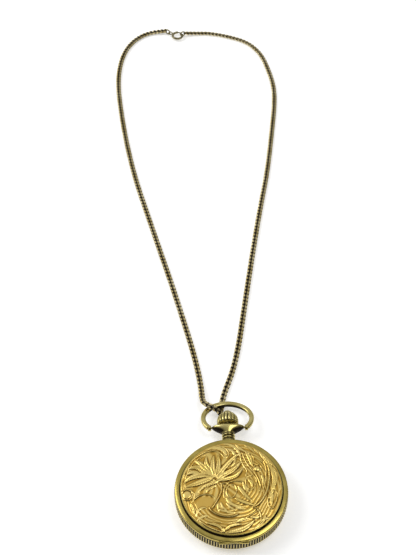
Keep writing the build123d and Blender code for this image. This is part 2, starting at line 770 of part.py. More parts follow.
# Main plate: disc and rim, opened for the winding work, the barrel and the balance
slot_half_width = winding_pinion_pitch_radius + tooth_depth
with BuildPart() as main_plate:
    with BuildSketch(Plane.XY.offset(bridge_top)):
        Circle(plate_radius)
    extrude(amount=plate_top - bridge_top)
    with BuildSketch(Plane.XY.offset(bridge_top)):
        RegularPolygon(plate_rim_radius, oval_sides, major_radius=False)
        with Locations(barrel_place):
            RegularPolygon(barrel_pitch_radius + 1.2 * tooth_depth, disc_sides,
                           major_radius=False)
    extrude(amount=plate_bottom - bridge_top, mode=Mode.SUBTRACT)
    with BuildSketch(Plane.XY.offset(bridge_top)):
        with Locations(balance_place):
            RegularPolygon(balance_radius + tooth_depth, disc_sides, major_radius=False)
    extrude(amount=balance_thickness, mode=Mode.SUBTRACT)
    with BuildSketch(Plane.XY.offset(bridge_top)):
        with Locations((0, stem_start - overrun)):
            Rectangle(2 * slot_half_width, winding_pinion_start + winding_pinion_length
                      + tooth_depth - stem_start + overrun, align=(Align.CENTER, Align.MIN))
    extrude(amount=plate_top - bridge_top, mode=Mode.SUBTRACT)
    with BuildSketch(Plane.XY.offset(stem_level)):
        with Locations((stem_radius, groove_start + groove_width)):
            Rectangle(4 * stem_pin_radius + 2 * running_gap, 4.5 * groove_width)
    extrude(amount=plate_top - stem_level, mode=Mode.SUBTRACT)
    with BuildSketch(across(winding_pinion_start)):
        RegularPolygon(stem_radius + 2 * running_gap, arbor_sides, major_radius=False)
    extrude(amount=case_radius - winding_pinion_start, mode=Mode.SUBTRACT)
    with BuildSketch(Plane.XY.offset(plate_bottom)):
        with Locations(*plate_pivots):
            RegularPolygon(arbor_radius + running_gap, arbor_sides, major_radius=False)
    extrude(amount=pivot_depth + running_gap, mode=Mode.SUBTRACT)
    with BuildSketch(Plane.XY.offset(plate_bottom)):
        with Locations(centre_place):
            RegularPolygon(centre_arbor_radius + running_gap, arbor_sides, major_radius=False)
        with Locations(fourth_place):
            RegularPolygon(arbor_radius + running_gap, arbor_sides, major_radius=False)
        with Locations(barrel_place):
            RegularPolygon(barrel_pivot_radius + running_gap, arbor_sides, major_radius=False)
    extrude(amount=plate_thickness, mode=Mode.SUBTRACT)
    # Studs for the motion work, the lever and the yoke, and the post for the crown wheel
    with BuildSketch(Plane.XY.offset(plate_bottom)):
        with Locations(minute_wheel_place, carrier_wheel_place, setting_wheel_place,
                       setting_lever_place, yoke_place):
            RegularPolygon(post_radius, arbor_sides)
    extrude(amount=dial_bottom - seat_gap - plate_bottom)
    with BuildSketch(Plane.XY.offset(ratchet_bottom)):
        with Locations(crown_wheel_place):
            RegularPolygon(2 * post_radius, boss_sides)
    extrude(amount=plate_bottom + post_radius - ratchet_bottom)
    for screw_angle in bridge_screw_angles + (cock_screw_angle, pallet_screw_angle):
        with BuildSketch(Plane.XY.offset(bridge_top)):
            with Locations(around(screw_ring_radius, screw_angle)):
                RegularPolygon(screw_shank_radius + seat_gap, arbor_sides, major_radius=False)
        extrude(amount=screw_shank_length - bridge_thickness, mode=Mode.SUBTRACT)
pieces["main_plate"] = main_plate.part

# Bridges, each cut from a disc that stands on the plate's rim
ratchet_pitch_radius, crown_wheel_pitch_radius = pitch_radii(
    barrel_place, crown_wheel_place, ratchet_teeth, crown_wheel_teeth)
barrel_bridge_shares = ((-0.572, 0.0723), (1.03, 0.0723), (1.03, 1.03), (-0.572, 1.03))
train_bridge_shares = ((-0.235, 0.0542), (1.03, 0.0542), (1.03, -1.03), (-0.3253, -1.03),
                       (-0.3253, -0.5964), (-0.235, -0.5181))
pallet_bridge_shares = ((-0.3946, -0.5), (-0.3373, -0.4699), (-0.3373, -0.9518),
                        (-0.5422, -0.9518), (-0.4578, -0.6024))
for name, outline_shares, pivots, screw_angles in (
        ("barrel_bridge", barrel_bridge_shares, (), bridge_screw_angles[:2]),
        ("train_bridge", train_bridge_shares,
         (centre_place, third_place, fourth_place, escape_place), bridge_screw_angles[2:]),
        ("pallet_bridge", pallet_bridge_shares, (pallet_place,), (pallet_screw_angle,))):
    with BuildPart() as bridge:
        with BuildSketch(bridge_level):
            Circle(bridge_radius)
            Polygon(*[(x * bridge_radius, y * bridge_radius) for x, y in outline_shares],
                    align=None, mode=Mode.INTERSECT)
            for screw_angle in screw_angles:
                with Locations(around(screw_ring_radius, screw_angle)):
                    RegularPolygon(screw_shank_radius + seat_gap, arbor_sides, major_radius=False, mode=Mode.SUBTRACT)
            if name == "barrel_bridge":
                with Locations(crown_wheel_place):
                    RegularPolygon(crown_wheel_pitch_radius + 1.2 * tooth_depth, disc_sides, major_radius=False, mode=Mode.SUBTRACT)
                with Locations(barrel_place):
                    RegularPolygon(barrel_pivot_radius + running_gap, arbor_sides, major_radius=False, mode=Mode.SUBTRACT)
        extrude(amount=bridge_thickness)
        if pivots:
            with BuildSketch(Plane.XY.offset(bridge_top)):
                with Locations(*pivots):
                    RegularPolygon(arbor_radius + running_gap, arbor_sides, major_radius=False)
            extrude(amount=-(pivot_depth + running_gap), mode=Mode.SUBTRACT)
    pieces[name] = bridge.part

cock_foot_place = around(screw_ring_radius - cock_foot_inset, cock_screw_angle)
with BuildPart() as balance_cock:
    with BuildSketch(Plane.XY.offset(cock_bottom)):
        Polygon(*bar_points(balance_place, cock_foot_place, cock_neck_width,
                            cock_foot_width), align=None)
        with Locations(balance_place):
            RegularPolygon(cock_head_radius, disc_sides)
        Circle(bridge_radius, mode=Mode.INTERSECT)
    extrude(amount=cock_thickness)
    with BuildSketch(bridge_level):
        with Locations(cock_foot_place):
            RegularPolygon(cock_foot_radius, disc_sides)
        Circle(bridge_radius, mode=Mode.INTERSECT)
    extrude(amount=bridge_thickness)
    with BuildSketch(Plane.XY.offset(cock_bottom)):
        with Locations(around(screw_ring_radius, cock_screw_angle)):
            RegularPolygon(screw_shank_radius + seat_gap, arbor_sides, major_radius=False)
    extrude(amount=cock_thickness + bridge_thickness, mode=Mode.SUBTRACT)
    with BuildSketch(Plane.XY.offset(bridge_bottom)):
        with Locations(balance_place):
            RegularPolygon(arbor_radius + running_gap, arbor_sides, major_radius=False)
    extrude(amount=-(pivot_depth + running_gap), mode=Mode.SUBTRACT)
pieces["balance_cock"] = balance_cock.part

screws = []
for screw_angle, seat_level in (
        [(angle, bridge_bottom) for angle in bridge_screw_angles + (pallet_screw_angle,)]
        + [(cock_screw_angle, cock_bottom)]):
    with BuildPart() as bridge_screw:
        with BuildSketch(Plane.XY.offset(seat_level - screw_head_height)):
            with Locations(around(screw_ring_radius, screw_angle)):
                RegularPolygon(screw_head_radius, boss_sides)
        extrude(amount=screw_head_height)
        with BuildSketch(Plane.XY.offset(seat_level)):
            with Locations(around(screw_ring_radius, screw_angle)):
                RegularPolygon(screw_shank_radius, arbor_sides)
        extrude(amount=bridge_bottom - seat_level + screw_shank_length - seat_gap)
    screws.append(bridge_screw.part.solid())
pieces["bridge_screws"] = Compound(children=screws)

# Barrel with its cover, arbor and mainspring
barrel_top = barrel_bottom + barrel_drum_height + barrel_rim_height
barrel_cavity_top = barrel_top - barrel_floor
barrel_cavity_radius = barrel_drum_radius - barrel_wall
with BuildPart() as barrel:
    with BuildSketch(Plane.XY.offset(barrel_bottom)):
        with Locations(barrel_place):
            RegularPolygon(barrel_drum_radius, disc_sides)
    extrude(amount=barrel_drum_height)
    with BuildSketch(Plane.XY.offset(barrel_bottom + barrel_drum_height)):
        with Locations(barrel_place):
            Polygon(*toothed_points(barrel_teeth, barrel_pitch_radius - running_gap, tooth_depth),
                    align=None)
    extrude(amount=barrel_rim_height)
    with BuildSketch(Plane.XY.offset(barrel_bottom)):
        with Locations(barrel_place):
            RegularPolygon(barrel_cavity_radius, disc_sides, major_radius=False)
    extrude(amount=barrel_cavity_top - barrel_bottom, mode=Mode.SUBTRACT)
    with BuildSketch(Plane.XY.offset(barrel_bottom)):
        with Locations(barrel_place):
            RegularPolygon(barrel_pivot_radius + running_gap, arbor_sides, major_radius=False)
    extrude(amount=barrel_top - barrel_bottom, mode=Mode.SUBTRACT)
pieces["barrel"] = barrel.part

cover_thickness = barrel_floor / 2
with BuildPart() as barrel_cover:
    with BuildSketch(Plane.XY.offset(barrel_bottom)):
        with Locations(barrel_place):
            RegularPolygon(barrel_cavity_radius - seat_gap, disc_sides)
            RegularPolygon(barrel_pivot_radius + running_gap, arbor_sides, major_radius=False, mode=Mode.SUBTRACT)
    extrude(amount=cover_thickness)
pieces["barrel_cover"] = barrel_cover.part

with BuildPart() as mainspring:
    with BuildSketch(Plane.XY.offset(barrel_bottom + cover_thickness + running_gap)):
        with Locations(barrel_place):
            Polygon(*spiral_points(barrel_arbor_radius + mainspring_thickness + running_gap,
                                   barrel_cavity_radius - running_gap, mainspring_turns,
                                   mainspring_thickness), align=None)
    extrude(amount=barrel_cavity_top - barrel_bottom - cover_thickness - 2 * running_gap)
pieces["mainspring"] = mainspring.part

with BuildPart() as barrel_arbor:
    with BuildSketch(Plane.XY.offset(ratchet_bottom)):
        with Locations(barrel_place):
            RegularPolygon(barrel_pivot_radius, arbor_sides)
    extrude(amount=plate_bottom + pivot_depth - ratchet_bottom)
    with BuildSketch(Plane.XY.offset(barrel_bottom + cover_thickness + running_gap)):
        with Locations(barrel_place):
            RegularPolygon(barrel_arbor_radius, boss_sides)
    extrude(amount=barrel_cavity_top - barrel_bottom - cover_thickness - 2 * running_gap)
pieces["barrel_arbor"] = barrel_arbor.part

# Winding work: ratchet, crown wheel, winding pinion, clutch
ratchet_lead = 0.0
with BuildPart() as ratchet_wheel:
    with BuildSketch(Plane.XY.offset(ratchet_bottom)):
        with Locations(barrel_place):
            Polygon(*toothed_points(ratchet_teeth, ratchet_pitch_radius - running_gap, tooth_depth,
                                    ratchet_lead), align=None)
            RegularPolygon(barrel_pivot_radius + seat_gap, arbor_sides, major_radius=False, mode=Mode.SUBTRACT)
    extrude(amount=ratchet_thickness)
pieces["ratchet_wheel"] = ratchet_wheel.part

crown_wheel_lead = mesh_share(barrel_place, crown_wheel_place, ratchet_teeth, crown_wheel_teeth,
                              ratchet_lead)
with BuildPart() as crown_wheel:
    with BuildSketch(Plane.XY.offset(ratchet_bottom)):
        with Locations(crown_wheel_place):
            Polygon(*toothed_points(crown_wheel_teeth, crown_wheel_pitch_radius - running_gap,
                                    tooth_depth, crown_wheel_lead), align=None)
    extrude(amount=crown_wheel_rim_height)
    with BuildSketch(Plane.XY.offset(ratchet_bottom + ratchet_thickness)):
        with Locations(crown_wheel_place):
            RegularPolygon(crown_wheel_pitch_radius - crown_wheel_rim, disc_sides)
    extrude(amount=crown_wheel_rim_height - ratchet_thickness, mode=Mode.SUBTRACT)
    with BuildSketch(Plane.XY.offset(ratchet_bottom)):
        with Locations(crown_wheel_place):
            RegularPolygon(2 * post_radius + running_gap, boss_sides, major_radius=False)
    extrude(amount=ratchet_thickness, mode=Mode.SUBTRACT)
pieces["crown_wheel"] = crown_wheel.part

# Large flat screws over the ratchet and the crown wheel
for name, place, head_radius in (("ratchet_screw", barrel_place, ratchet_screw_radius),
                                 ("crown_wheel_screw", crown_wheel_place,
                                  crown_wheel_screw_radius)):
    with BuildPart() as wheel_screw:
        with BuildSketch(Plane.XY.offset(ratchet_bottom - screw_head_height)):
            with Locations(place):
                RegularPolygon(head_radius, disc_sides)
        extrude(amount=screw_head_height - seat_gap)
        with BuildSketch(Plane.XY.offset(ratchet_bottom - screw_head_height)):
            with Locations(place):
                Rectangle(2 * head_radius, 0.2 * head_radius)
        extrude(amount=screw_head_height / 3, mode=Mode.SUBTRACT)
    pieces[name] = wheel_screw.part

with BuildPart() as winding_pinion:
    with BuildSketch(across(winding_pinion_start)):
        Polygon(*toothed_points(winding_pinion_leaves, winding_pinion_pitch_radius - running_gap,
                                tooth_depth), align=None)
        RegularPolygon(stem_radius + running_gap, arbor_sides, major_radius=False, mode=Mode.SUBTRACT)
    extrude(amount=winding_pinion_length)
pieces["winding_pinion"] = winding_pinion.part

clutch_groove_start = clutch_start + 0.6 * clutch_length
with BuildPart() as clutch:
    with BuildSketch(across(clutch_start)):
        RegularPolygon(clutch_radius, boss_sides)
        Rectangle(stem_square + 2 * running_gap, stem_square + 2 * running_gap, mode=Mode.SUBTRACT)
    extrude(amount=clutch_length)
    with BuildSketch(across(clutch_groove_start)):
        RegularPolygon(clutch_radius + overrun, boss_sides)
        RegularPolygon(clutch_groove_radius, boss_sides, mode=Mode.SUBTRACT)
    extrude(amount=clutch_groove_width, mode=Mode.SUBTRACT)
pieces["clutch"] = clutch.part

# Setting lever with its pin in the stem's groove, and the yoke with its nose in the clutch's
stem_pin_place = (groove_radius + running_gap + stem_pin_radius, groove_start + groove_width / 2)
with BuildPart() as setting_lever:
    with BuildSketch(Plane.XY.offset(lever_level)):
        Polygon(*bar_points(setting_lever_place, stem_pin_place, lever_eye_radius * 1.6,
                            lever_eye_radius), align=None)
        with Locations(setting_lever_place):
            RegularPolygon(lever_eye_radius, boss_sides)
        with Locations(stem_pin_place):
            RegularPolygon(lever_eye_radius / 2, arbor_sides)
        with Locations(setting_lever_place):
            RegularPolygon(post_radius + running_gap, arbor_sides, major_radius=False, mode=Mode.SUBTRACT)
    extrude(amount=lever_thickness)
    with BuildSketch(Plane.XY.offset(stem_level + running_gap)):
        with Locations(stem_pin_place):
            RegularPolygon(stem_pin_radius, arbor_sides)
    extrude(amount=lever_level + lever_thickness - stem_level - running_gap)
pieces["setting_lever"] = setting_lever.part

yoke_nose_place = (0.0, clutch_groove_start + clutch_groove_width / 2)
with BuildPart() as yoke:
    with BuildSketch(Plane.XY.offset(lever_level)):
        yoke_elbow = (-slot_half_width, yoke_nose_place[1])
        Polygon(*bar_points(yoke_place, yoke_elbow, lever_eye_radius * 1.4,
                            lever_eye_radius), align=None)
        Polygon(*bar_points(yoke_elbow, (clutch_groove_radius / 2, yoke_nose_place[1]),
                            lever_eye_radius, clutch_groove_width / 2), align=None)
        with Locations(yoke_place):
            RegularPolygon(lever_eye_radius, boss_sides)
            RegularPolygon(post_radius + running_gap, arbor_sides, major_radius=False, mode=Mode.SUBTRACT)
    extrude(amount=lever_thickness)
pieces["yoke"] = yoke.part

# Click and its spring on the barrel bridge
click_reach = ratchet_pitch_radius + tooth_depth / 2 + running_gap
click_span = distance(click_place, barrel_place)
click_bend = math.degrees(math.acos((click_span ** 2 + click_nose_length ** 2 - click_reach ** 2)
                                    / (2 * click_span * click_nose_length)))
click_direction = direction(click_place, barrel_place) - click_bend
click_nose = around(click_nose_length, click_direction)
click_tail = around(-click_nose_length / 2, click_direction)
with BuildPart() as click:
    with BuildSketch(Plane.XY.offset(ratchet_bottom)):
        with Locations(click_place):
            Polygon(*bar_points(click_tail, click_nose, lever_eye_radius, tooth_depth),
                    align=None)
            RegularPolygon(lever_eye_radius, boss_sides)
            RegularPolygon(post_radius + running_gap, arbor_sides, major_radius=False, mode=Mode.SUBTRACT)
    extrude(amount=ratchet_thickness)
pieces["click"] = click.part

with BuildPart() as click_stud:
    with BuildSketch(Plane.XY.offset(ratchet_bottom - seat_gap)):
        with Locations(click_place):
            RegularPolygon(post_radius, arbor_sides)
    extrude(amount=bridge_bottom - ratchet_bottom + seat_gap)
pieces["click_stud"] = click_stud.part

click_tail_place = (click_place[0] + click_tail[0], click_place[1] + click_tail[1])
spring_foot_place = around(bridge_radius - lever_eye_radius, direction(centre_place, click_place))
spring_line = direction(click_tail_place, spring_foot_place)
spring_tip = (click_tail_place[0] + around(lever_eye_radius, spring_line)[0],
              click_tail_place[1] + around(lever_eye_radius, spring_line)[1])
with BuildPart() as click_spring:
    with BuildSketch(Plane.XY.offset(ratchet_bottom)):
        Polygon(*bar_points(spring_tip, spring_foot_place, tooth_depth, lever_eye_radius),
                align=None)
        with Locations(spring_foot_place):
            RegularPolygon(lever_eye_radius, boss_sides)
    extrude(amount=bridge_bottom - ratchet_bottom)
pieces["click_spring"] = click_spring.part

# Going train: each arbor with its pinion and its wheel
centre_wheel_pitch, third_pinion_pitch = pitch_radii(
    centre_place, third_place, centre_teeth, third_pinion_leaves)
third_wheel_pitch, fourth_pinion_pitch = pitch_radii(
    third_place, fourth_place, third_teeth, fourth_pinion_leaves)
fourth_wheel_pitch, escape_pinion_pitch = pitch_radii(
    fourth_place, escape_place, fourth_teeth, escape_pinion_leaves)
centre_pinion_lead = mesh_share(barrel_place, centre_place, barrel_teeth, centre_pinion_leaves)
third_pinion_lead = mesh_share(centre_place, third_place, centre_teeth, third_pinion_leaves)
fourth_pinion_lead = mesh_share(third_place, fourth_place, third_teeth, fourth_pinion_leaves)
escape_pinion_lead = mesh_share(fourth_place, escape_place, fourth_teeth, escape_pinion_leaves)
pivot_bottom = bridge_top - pivot_depth
pivot_top = plate_bottom + pivot_depth
for (name, place, arbor, arbor_top, leaves, pinion_pitch, pinion_lead, pinion_bottom,
     teeth, wheel_pitch, wheel_bottom, depth) in (
        ("centre_wheel", centre_place, arbor_radius, plate_bottom, centre_pinion_leaves,
         centre_pinion_pitch_radius, centre_pinion_lead, centre_pinion_bottom,
         centre_teeth, centre_wheel_pitch, centre_wheel_bottom, tooth_depth),
        ("third_wheel", third_place, arbor_radius, pivot_top, third_pinion_leaves,
         third_pinion_pitch, third_pinion_lead, third_pinion_bottom,
         third_teeth, third_wheel_pitch, third_wheel_bottom, tooth_depth),
        ("fourth_wheel", fourth_place, arbor_radius, seconds_hand_bottom + hand_thickness,
         fourth_pinion_leaves, fourth_pinion_pitch, fourth_pinion_lead, fourth_pinion_bottom,
         fourth_teeth, fourth_wheel_pitch, fourth_wheel_bottom, tooth_depth),
        ("escape_wheel", escape_place, arbor_radius, pivot_top, escape_pinion_leaves,
         escape_pinion_pitch, escape_pinion_lead, escape_pinion_bottom,
         escape_teeth, escape_radius - escape_tooth_depth / 2, escape_wheel_bottom,
         escape_tooth_depth)):
    with BuildPart() as train_wheel:
        with BuildSketch(Plane.XY.offset(pivot_bottom)):
            with Locations(place):
                RegularPolygon(arbor, arbor_sides)
        extrude(amount=arbor_top - pivot_bottom)
        with BuildSketch(Plane.XY.offset(pinion_bottom)):
            with Locations(place):
                Polygon(*toothed_points(leaves, pinion_pitch - running_gap, tooth_depth,
                                        pinion_lead), align=None)
        extrude(amount=pinion_height)
        with BuildSketch(Plane.XY.offset(wheel_bottom)):
            with Locations(place):
                Polygon(*toothed_points(teeth, wheel_pitch - running_gap, depth), align=None)
                if name != "escape_wheel":
                    RegularPolygon(wheel_hole_share * wheel_pitch, disc_sides, mode=Mode.SUBTRACT)
        extrude(amount=wheel_thickness)
        if name != "escape_wheel":
            arm_reach = (1 + wheel_hole_share) * wheel_pitch - depth
            with BuildSketch(Plane.XY.offset(wheel_bottom)):
                with Locations(place):
                    Rectangle(arm_reach, wheel_arm_share * wheel_pitch)
                    Rectangle(wheel_arm_share * wheel_pitch, arm_reach)
            extrude(amount=wheel_thickness)
        if name == "centre_wheel":
            with BuildSketch(Plane.XY.offset(plate_bottom - running_gap)):
                with Locations(place):
                    RegularPolygon(centre_arbor_radius, arbor_sides)
            extrude(amount=plate_thickness)
            with BuildSketch(Plane.XY.offset(plate_bottom)):
                with Locations(place):
                    RegularPolygon(cannon_arbor_radius, arbor_sides)
            extrude(amount=minute_hand_bottom - plate_bottom)
    pieces[name] = train_wheel.part

# Pallet fork and balance
escape_line = direction(pallet_place, escape_place)
balance_line = direction(pallet_place, balance_place)
anchor_half_span = anchor_half_span_share * escape_span
anchor_reach = anchor_reach_share * escape_span
fork_length = distance(pallet_place, balance_place) - roller_radius - fork_gap
anchor_ends = [(around(anchor_half_span, escape_line + 90 * side)) for side in (-1, 1)]
with BuildPart() as pallet_fork:
    with BuildSketch(Plane.XY.offset(pivot_bottom)):
        with Locations(pallet_place):
            RegularPolygon(arbor_radius, arbor_sides)
    extrude(amount=pivot_top - pivot_bottom)
    with BuildSketch(Plane.XY.offset(escape_wheel_bottom)):
        with Locations(pallet_place):
            Polygon(*bar_points((0, 0), around(fork_length, balance_line), 1.4 * fork_width,
                                fork_width), align=None)
            Polygon(*bar_points(around(fork_length - fork_width, balance_line),
                                around(fork_length, balance_line), fork_width,
                                2.4 * fork_width), align=None)
            Polygon(*bar_points(anchor_ends[0], anchor_ends[1], fork_width), align=None)
            for anchor_end in anchor_ends:
                stone_end = (anchor_end[0] + around(anchor_reach, escape_line)[0],
                             anchor_end[1] + around(anchor_reach, escape_line)[1])
                Polygon(*bar_points(anchor_end, stone_end, fork_width, fork_width / 2),
                        align=None)
    extrude(amount=fork_thickness)
pieces["pallet_fork"] = pallet_fork.part

with BuildPart() as balance:
    with BuildSketch(Plane.XY.offset(balance_bottom)):
        with Locations(balance_place):
            RegularPolygon(balance_radius, disc_sides)
            RegularPolygon(balance_radius - balance_rim, disc_sides, mode=Mode.SUBTRACT)
            Rectangle(2 * balance_radius - balance_rim, balance_arm)
    extrude(amount=balance_thickness)
    with BuildSketch(Plane.XY.offset(bridge_bottom - pivot_depth)):
        with Locations(balance_place):
            RegularPolygon(arbor_radius, arbor_sides)
    extrude(amount=pivot_top - bridge_bottom + pivot_depth)
    with BuildSketch(Plane.XY.offset(escape_wheel_bottom - roller_height / 3)):
        with Locations(balance_place):
            RegularPolygon(roller_radius, boss_sides)
    extrude(amount=roller_height)
pieces["balance"] = balance.part

with BuildPart() as hairspring:
    with BuildSketch(Plane.XY.offset(hairspring_bottom)):
        with Locations(balance_place):
            Polygon(*spiral_points(arbor_radius + hairspring_thickness + fork_gap,
                                   hairspring_radius, hairspring_turns,
                                   hairspring_thickness), align=None)
    extrude(amount=hairspring_height)
pieces["hairspring"] = hairspring.part

hairspring_stud_place = (balance_place[0] + hairspring_radius, balance_place[1])
with BuildPart() as hairspring_stud:
    with BuildSketch(Plane.XY.offset(hairspring_bottom)):
        with Locations(hairspring_stud_place):
            Rectangle(hairspring_thickness * 2, fork_width, align=(Align.MIN, Align.CENTER))
    extrude(amount=hairspring_height)
pieces["hairspring_stud"] = hairspring_stud.part

# Motion work under the dial
motion_level = plate_top + 4 * running_gap / 3
cannon_pitch, minute_wheel_pitch = pitch_radii(
    centre_place, minute_wheel_place, cannon_teeth, minute_wheel_teeth)
minute_pinion_pitch, hour_wheel_pitch = pitch_radii(
    minute_wheel_place, centre_place, minute_pinion_leaves, hour_wheel_teeth)
carrier_pitch = distance(minute_wheel_place, carrier_wheel_place) - minute_wheel_pitch
setting_pitch = distance(carrier_wheel_place, setting_wheel_place) - carrier_pitch
minute_wheel_lead = mesh_share(centre_place, minute_wheel_place, cannon_teeth, minute_wheel_teeth)
hour_wheel_lead = mesh_share(minute_wheel_place, centre_place, minute_pinion_leaves,
                             hour_wheel_teeth)
carrier_lead = mesh_share(minute_wheel_place, carrier_wheel_place, minute_wheel_teeth,
                          carrier_wheel_teeth, minute_wheel_lead)
setting_lead = mesh_share(carrier_wheel_place, setting_wheel_place, carrier_wheel_teeth,
                          setting_wheel_teeth, carrier_lead)
with BuildPart() as cannon_pinion:
    with BuildSketch(Plane.XY.offset(motion_level)):
        Polygon(*toothed_points(cannon_teeth, cannon_pitch - running_gap, fine_tooth_depth),
                align=None)
    extrude(amount=wheel_thickness + running_gap)
    with BuildSketch(Plane.XY.offset(motion_level)):
        RegularPolygon(cannon_radius, arbor_sides)
    extrude(amount=minute_hand_bottom - motion_level)
    with BuildSketch(Plane.XY.offset(motion_level)):
        RegularPolygon(cannon_arbor_radius + running_gap, arbor_sides, major_radius=False)
    extrude(amount=minute_hand_bottom - motion_level, mode=Mode.SUBTRACT)
pieces["cannon_pinion"] = cannon_pinion.part

for name, place, teeth, wheel_pitch, lead in (
        ("minute_wheel", minute_wheel_place, minute_wheel_teeth, minute_wheel_pitch,
         minute_wheel_lead),
        ("carrier_wheel", carrier_wheel_place, carrier_wheel_teeth, carrier_pitch, carrier_lead),
        ("setting_wheel", setting_wheel_place, setting_wheel_teeth, setting_pitch,
         setting_lead)):
    with BuildPart() as motion_wheel:
        with BuildSketch(Plane.XY.offset(motion_level)):
            with Locations(place):
                Polygon(*toothed_points(teeth, wheel_pitch - running_gap, fine_tooth_depth, lead),
                        align=None)
        extrude(amount=wheel_thickness)
        if name == "minute_wheel":
            with BuildSketch(Plane.XY.offset(motion_level + wheel_thickness)):
                with Locations(place):
                    Polygon(*toothed_points(minute_pinion_leaves,
                                            minute_pinion_pitch - running_gap,
                                            fine_tooth_depth), align=None)
            extrude(amount=hour_level + wheel_thickness - motion_level - wheel_thickness)
        with BuildSketch(Plane.XY.offset(motion_level)):
            with Locations(place):
                RegularPolygon(post_radius + running_gap / 2, arbor_sides, major_radius=False)
        extrude(amount=dial_bottom - motion_level, mode=Mode.SUBTRACT)
    pieces[name] = motion_wheel.part

with BuildPart() as hour_wheel:
    with BuildSketch(Plane.XY.offset(hour_level)):
        Polygon(*toothed_points(hour_wheel_teeth, hour_wheel_pitch - running_gap, fine_tooth_depth,
                                hour_wheel_lead), align=None)
    extrude(amount=wheel_thickness)
    with BuildSketch(Plane.XY.offset(hour_level)):
        RegularPolygon(hour_pipe_radius, boss_sides)
    extrude(amount=hour_hand_bottom + hand_thickness - hour_level)
    with BuildSketch(Plane.XY.offset(hour_level)):
        RegularPolygon(cannon_radius + running_gap, arbor_sides, major_radius=False)
    extrude(amount=hour_hand_bottom + hand_thickness - hour_level, mode=Mode.SUBTRACT)
pieces["hour_wheel"] = hour_wheel.part

# Dial with sunk seconds and two feet
with BuildPart() as dial:
    with BuildSketch(Plane.XY.offset(dial_bottom)):
        Circle(plate_radius)
    extrude(amount=dial_thickness)
    with BuildSketch(Plane.XY.offset(dial_bottom)):
        RegularPolygon(dial_centre_radius, boss_sides, major_radius=False)
        with Locations(fourth_place):
            RegularPolygon(seconds_hole_radius, arbor_sides, major_radius=False)
    extrude(amount=dial_thickness, mode=Mode.SUBTRACT)
    with BuildSketch(Plane.XY.offset(dial_top - seconds_sink_depth)):
        with Locations(fourth_place):
            RegularPolygon(seconds_sink_radius, disc_sides)
    extrude(amount=seconds_sink_depth, mode=Mode.SUBTRACT)
    with BuildSketch(Plane.XY.offset(plate_top + seat_gap)):
        with Locations(*[around(screw_ring_radius, angle) for angle in dial_foot_angles]):
            RegularPolygon(post_radius, arbor_sides)
    extrude(amount=dial_bottom - plate_top - seat_gap)
pieces["dial"] = dial.part

# Hands: boss, tapered blade and tail, each set at ten minutes past ten
for name, level, boss_radius, bore, length, width, tail, hand_angle, place in (
        ("hour_hand", hour_hand_bottom, hand_boss_radius, hour_pipe_radius, hour_hand_length,
         hour_hand_width, 0.0, 145.0, centre_place),
        ("minute_hand", minute_hand_bottom, hand_boss_radius / 1.5, cannon_arbor_radius,
         minute_hand_length, minute_hand_width, 0.0, 30.0, centre_place),
        ("seconds_hand", seconds_hand_bottom, seconds_boss_radius, arbor_radius,
         seconds_hand_length, seconds_hand_width, seconds_hand_length / 3, 240.0,
         fourth_place)):
    with BuildPart() as hand:
        with BuildSketch(Plane.XY.offset(level)):
            with Locations(place):
                RegularPolygon(boss_radius, boss_sides)
                Polygon(*bar_points((0, 0), around(0.45 * length, hand_angle), width / 3, width),
                        align=None)
                Polygon(*bar_points(around(0.45 * length, hand_angle), around(length, hand_angle),
                                    width, width / 6), align=None)
                if tail:
                    Polygon(*bar_points((0, 0), around(-tail, hand_angle), width), align=None)
                if name != "minute_hand":
                    RegularPolygon(bore + seat_gap, boss_sides, major_radius=False, mode=Mode.SUBTRACT)
        extrude(amount=hand_thickness)
    pieces[name] = hand.part

# Spring ring: a hollow tube bent round to a gap, with an eye, and the bolt that closes the gap
clasp_origin = (clasp_centre[0], clasp_centre[1], clasp_level)
clasp_axis = Axis(clasp_origin, (0, 0, 1))
hollow_angle = clasp_slide_angle + clasp_bolt_grip_angle + clasp_spare_angle
gap_end_angle = clasp_gap_start_angle - clasp_gap_angle


def clasp_radial(angle):
    """Plane through the clasp's axis, its x axis pointing outwards at the angle."""
    out = around(1.0, angle)
    return Plane(origin=clasp_origin, x_dir=(out[0], out[1], 0), z_dir=(out[1], -out[0], 0))


def ring_plane(angle, offset, level):
    """Upright plane that holds a jump ring on a line out from the clasp's centre."""
    out = around(1.0, angle)
    return Plane(origin=(clasp_centre[0] + out[0] * offset, clasp_centre[1] + out[1] * offset,
                         level),
                 x_dir=(out[0], out[1], 0), z_dir=(out[1], -out[0], 0))


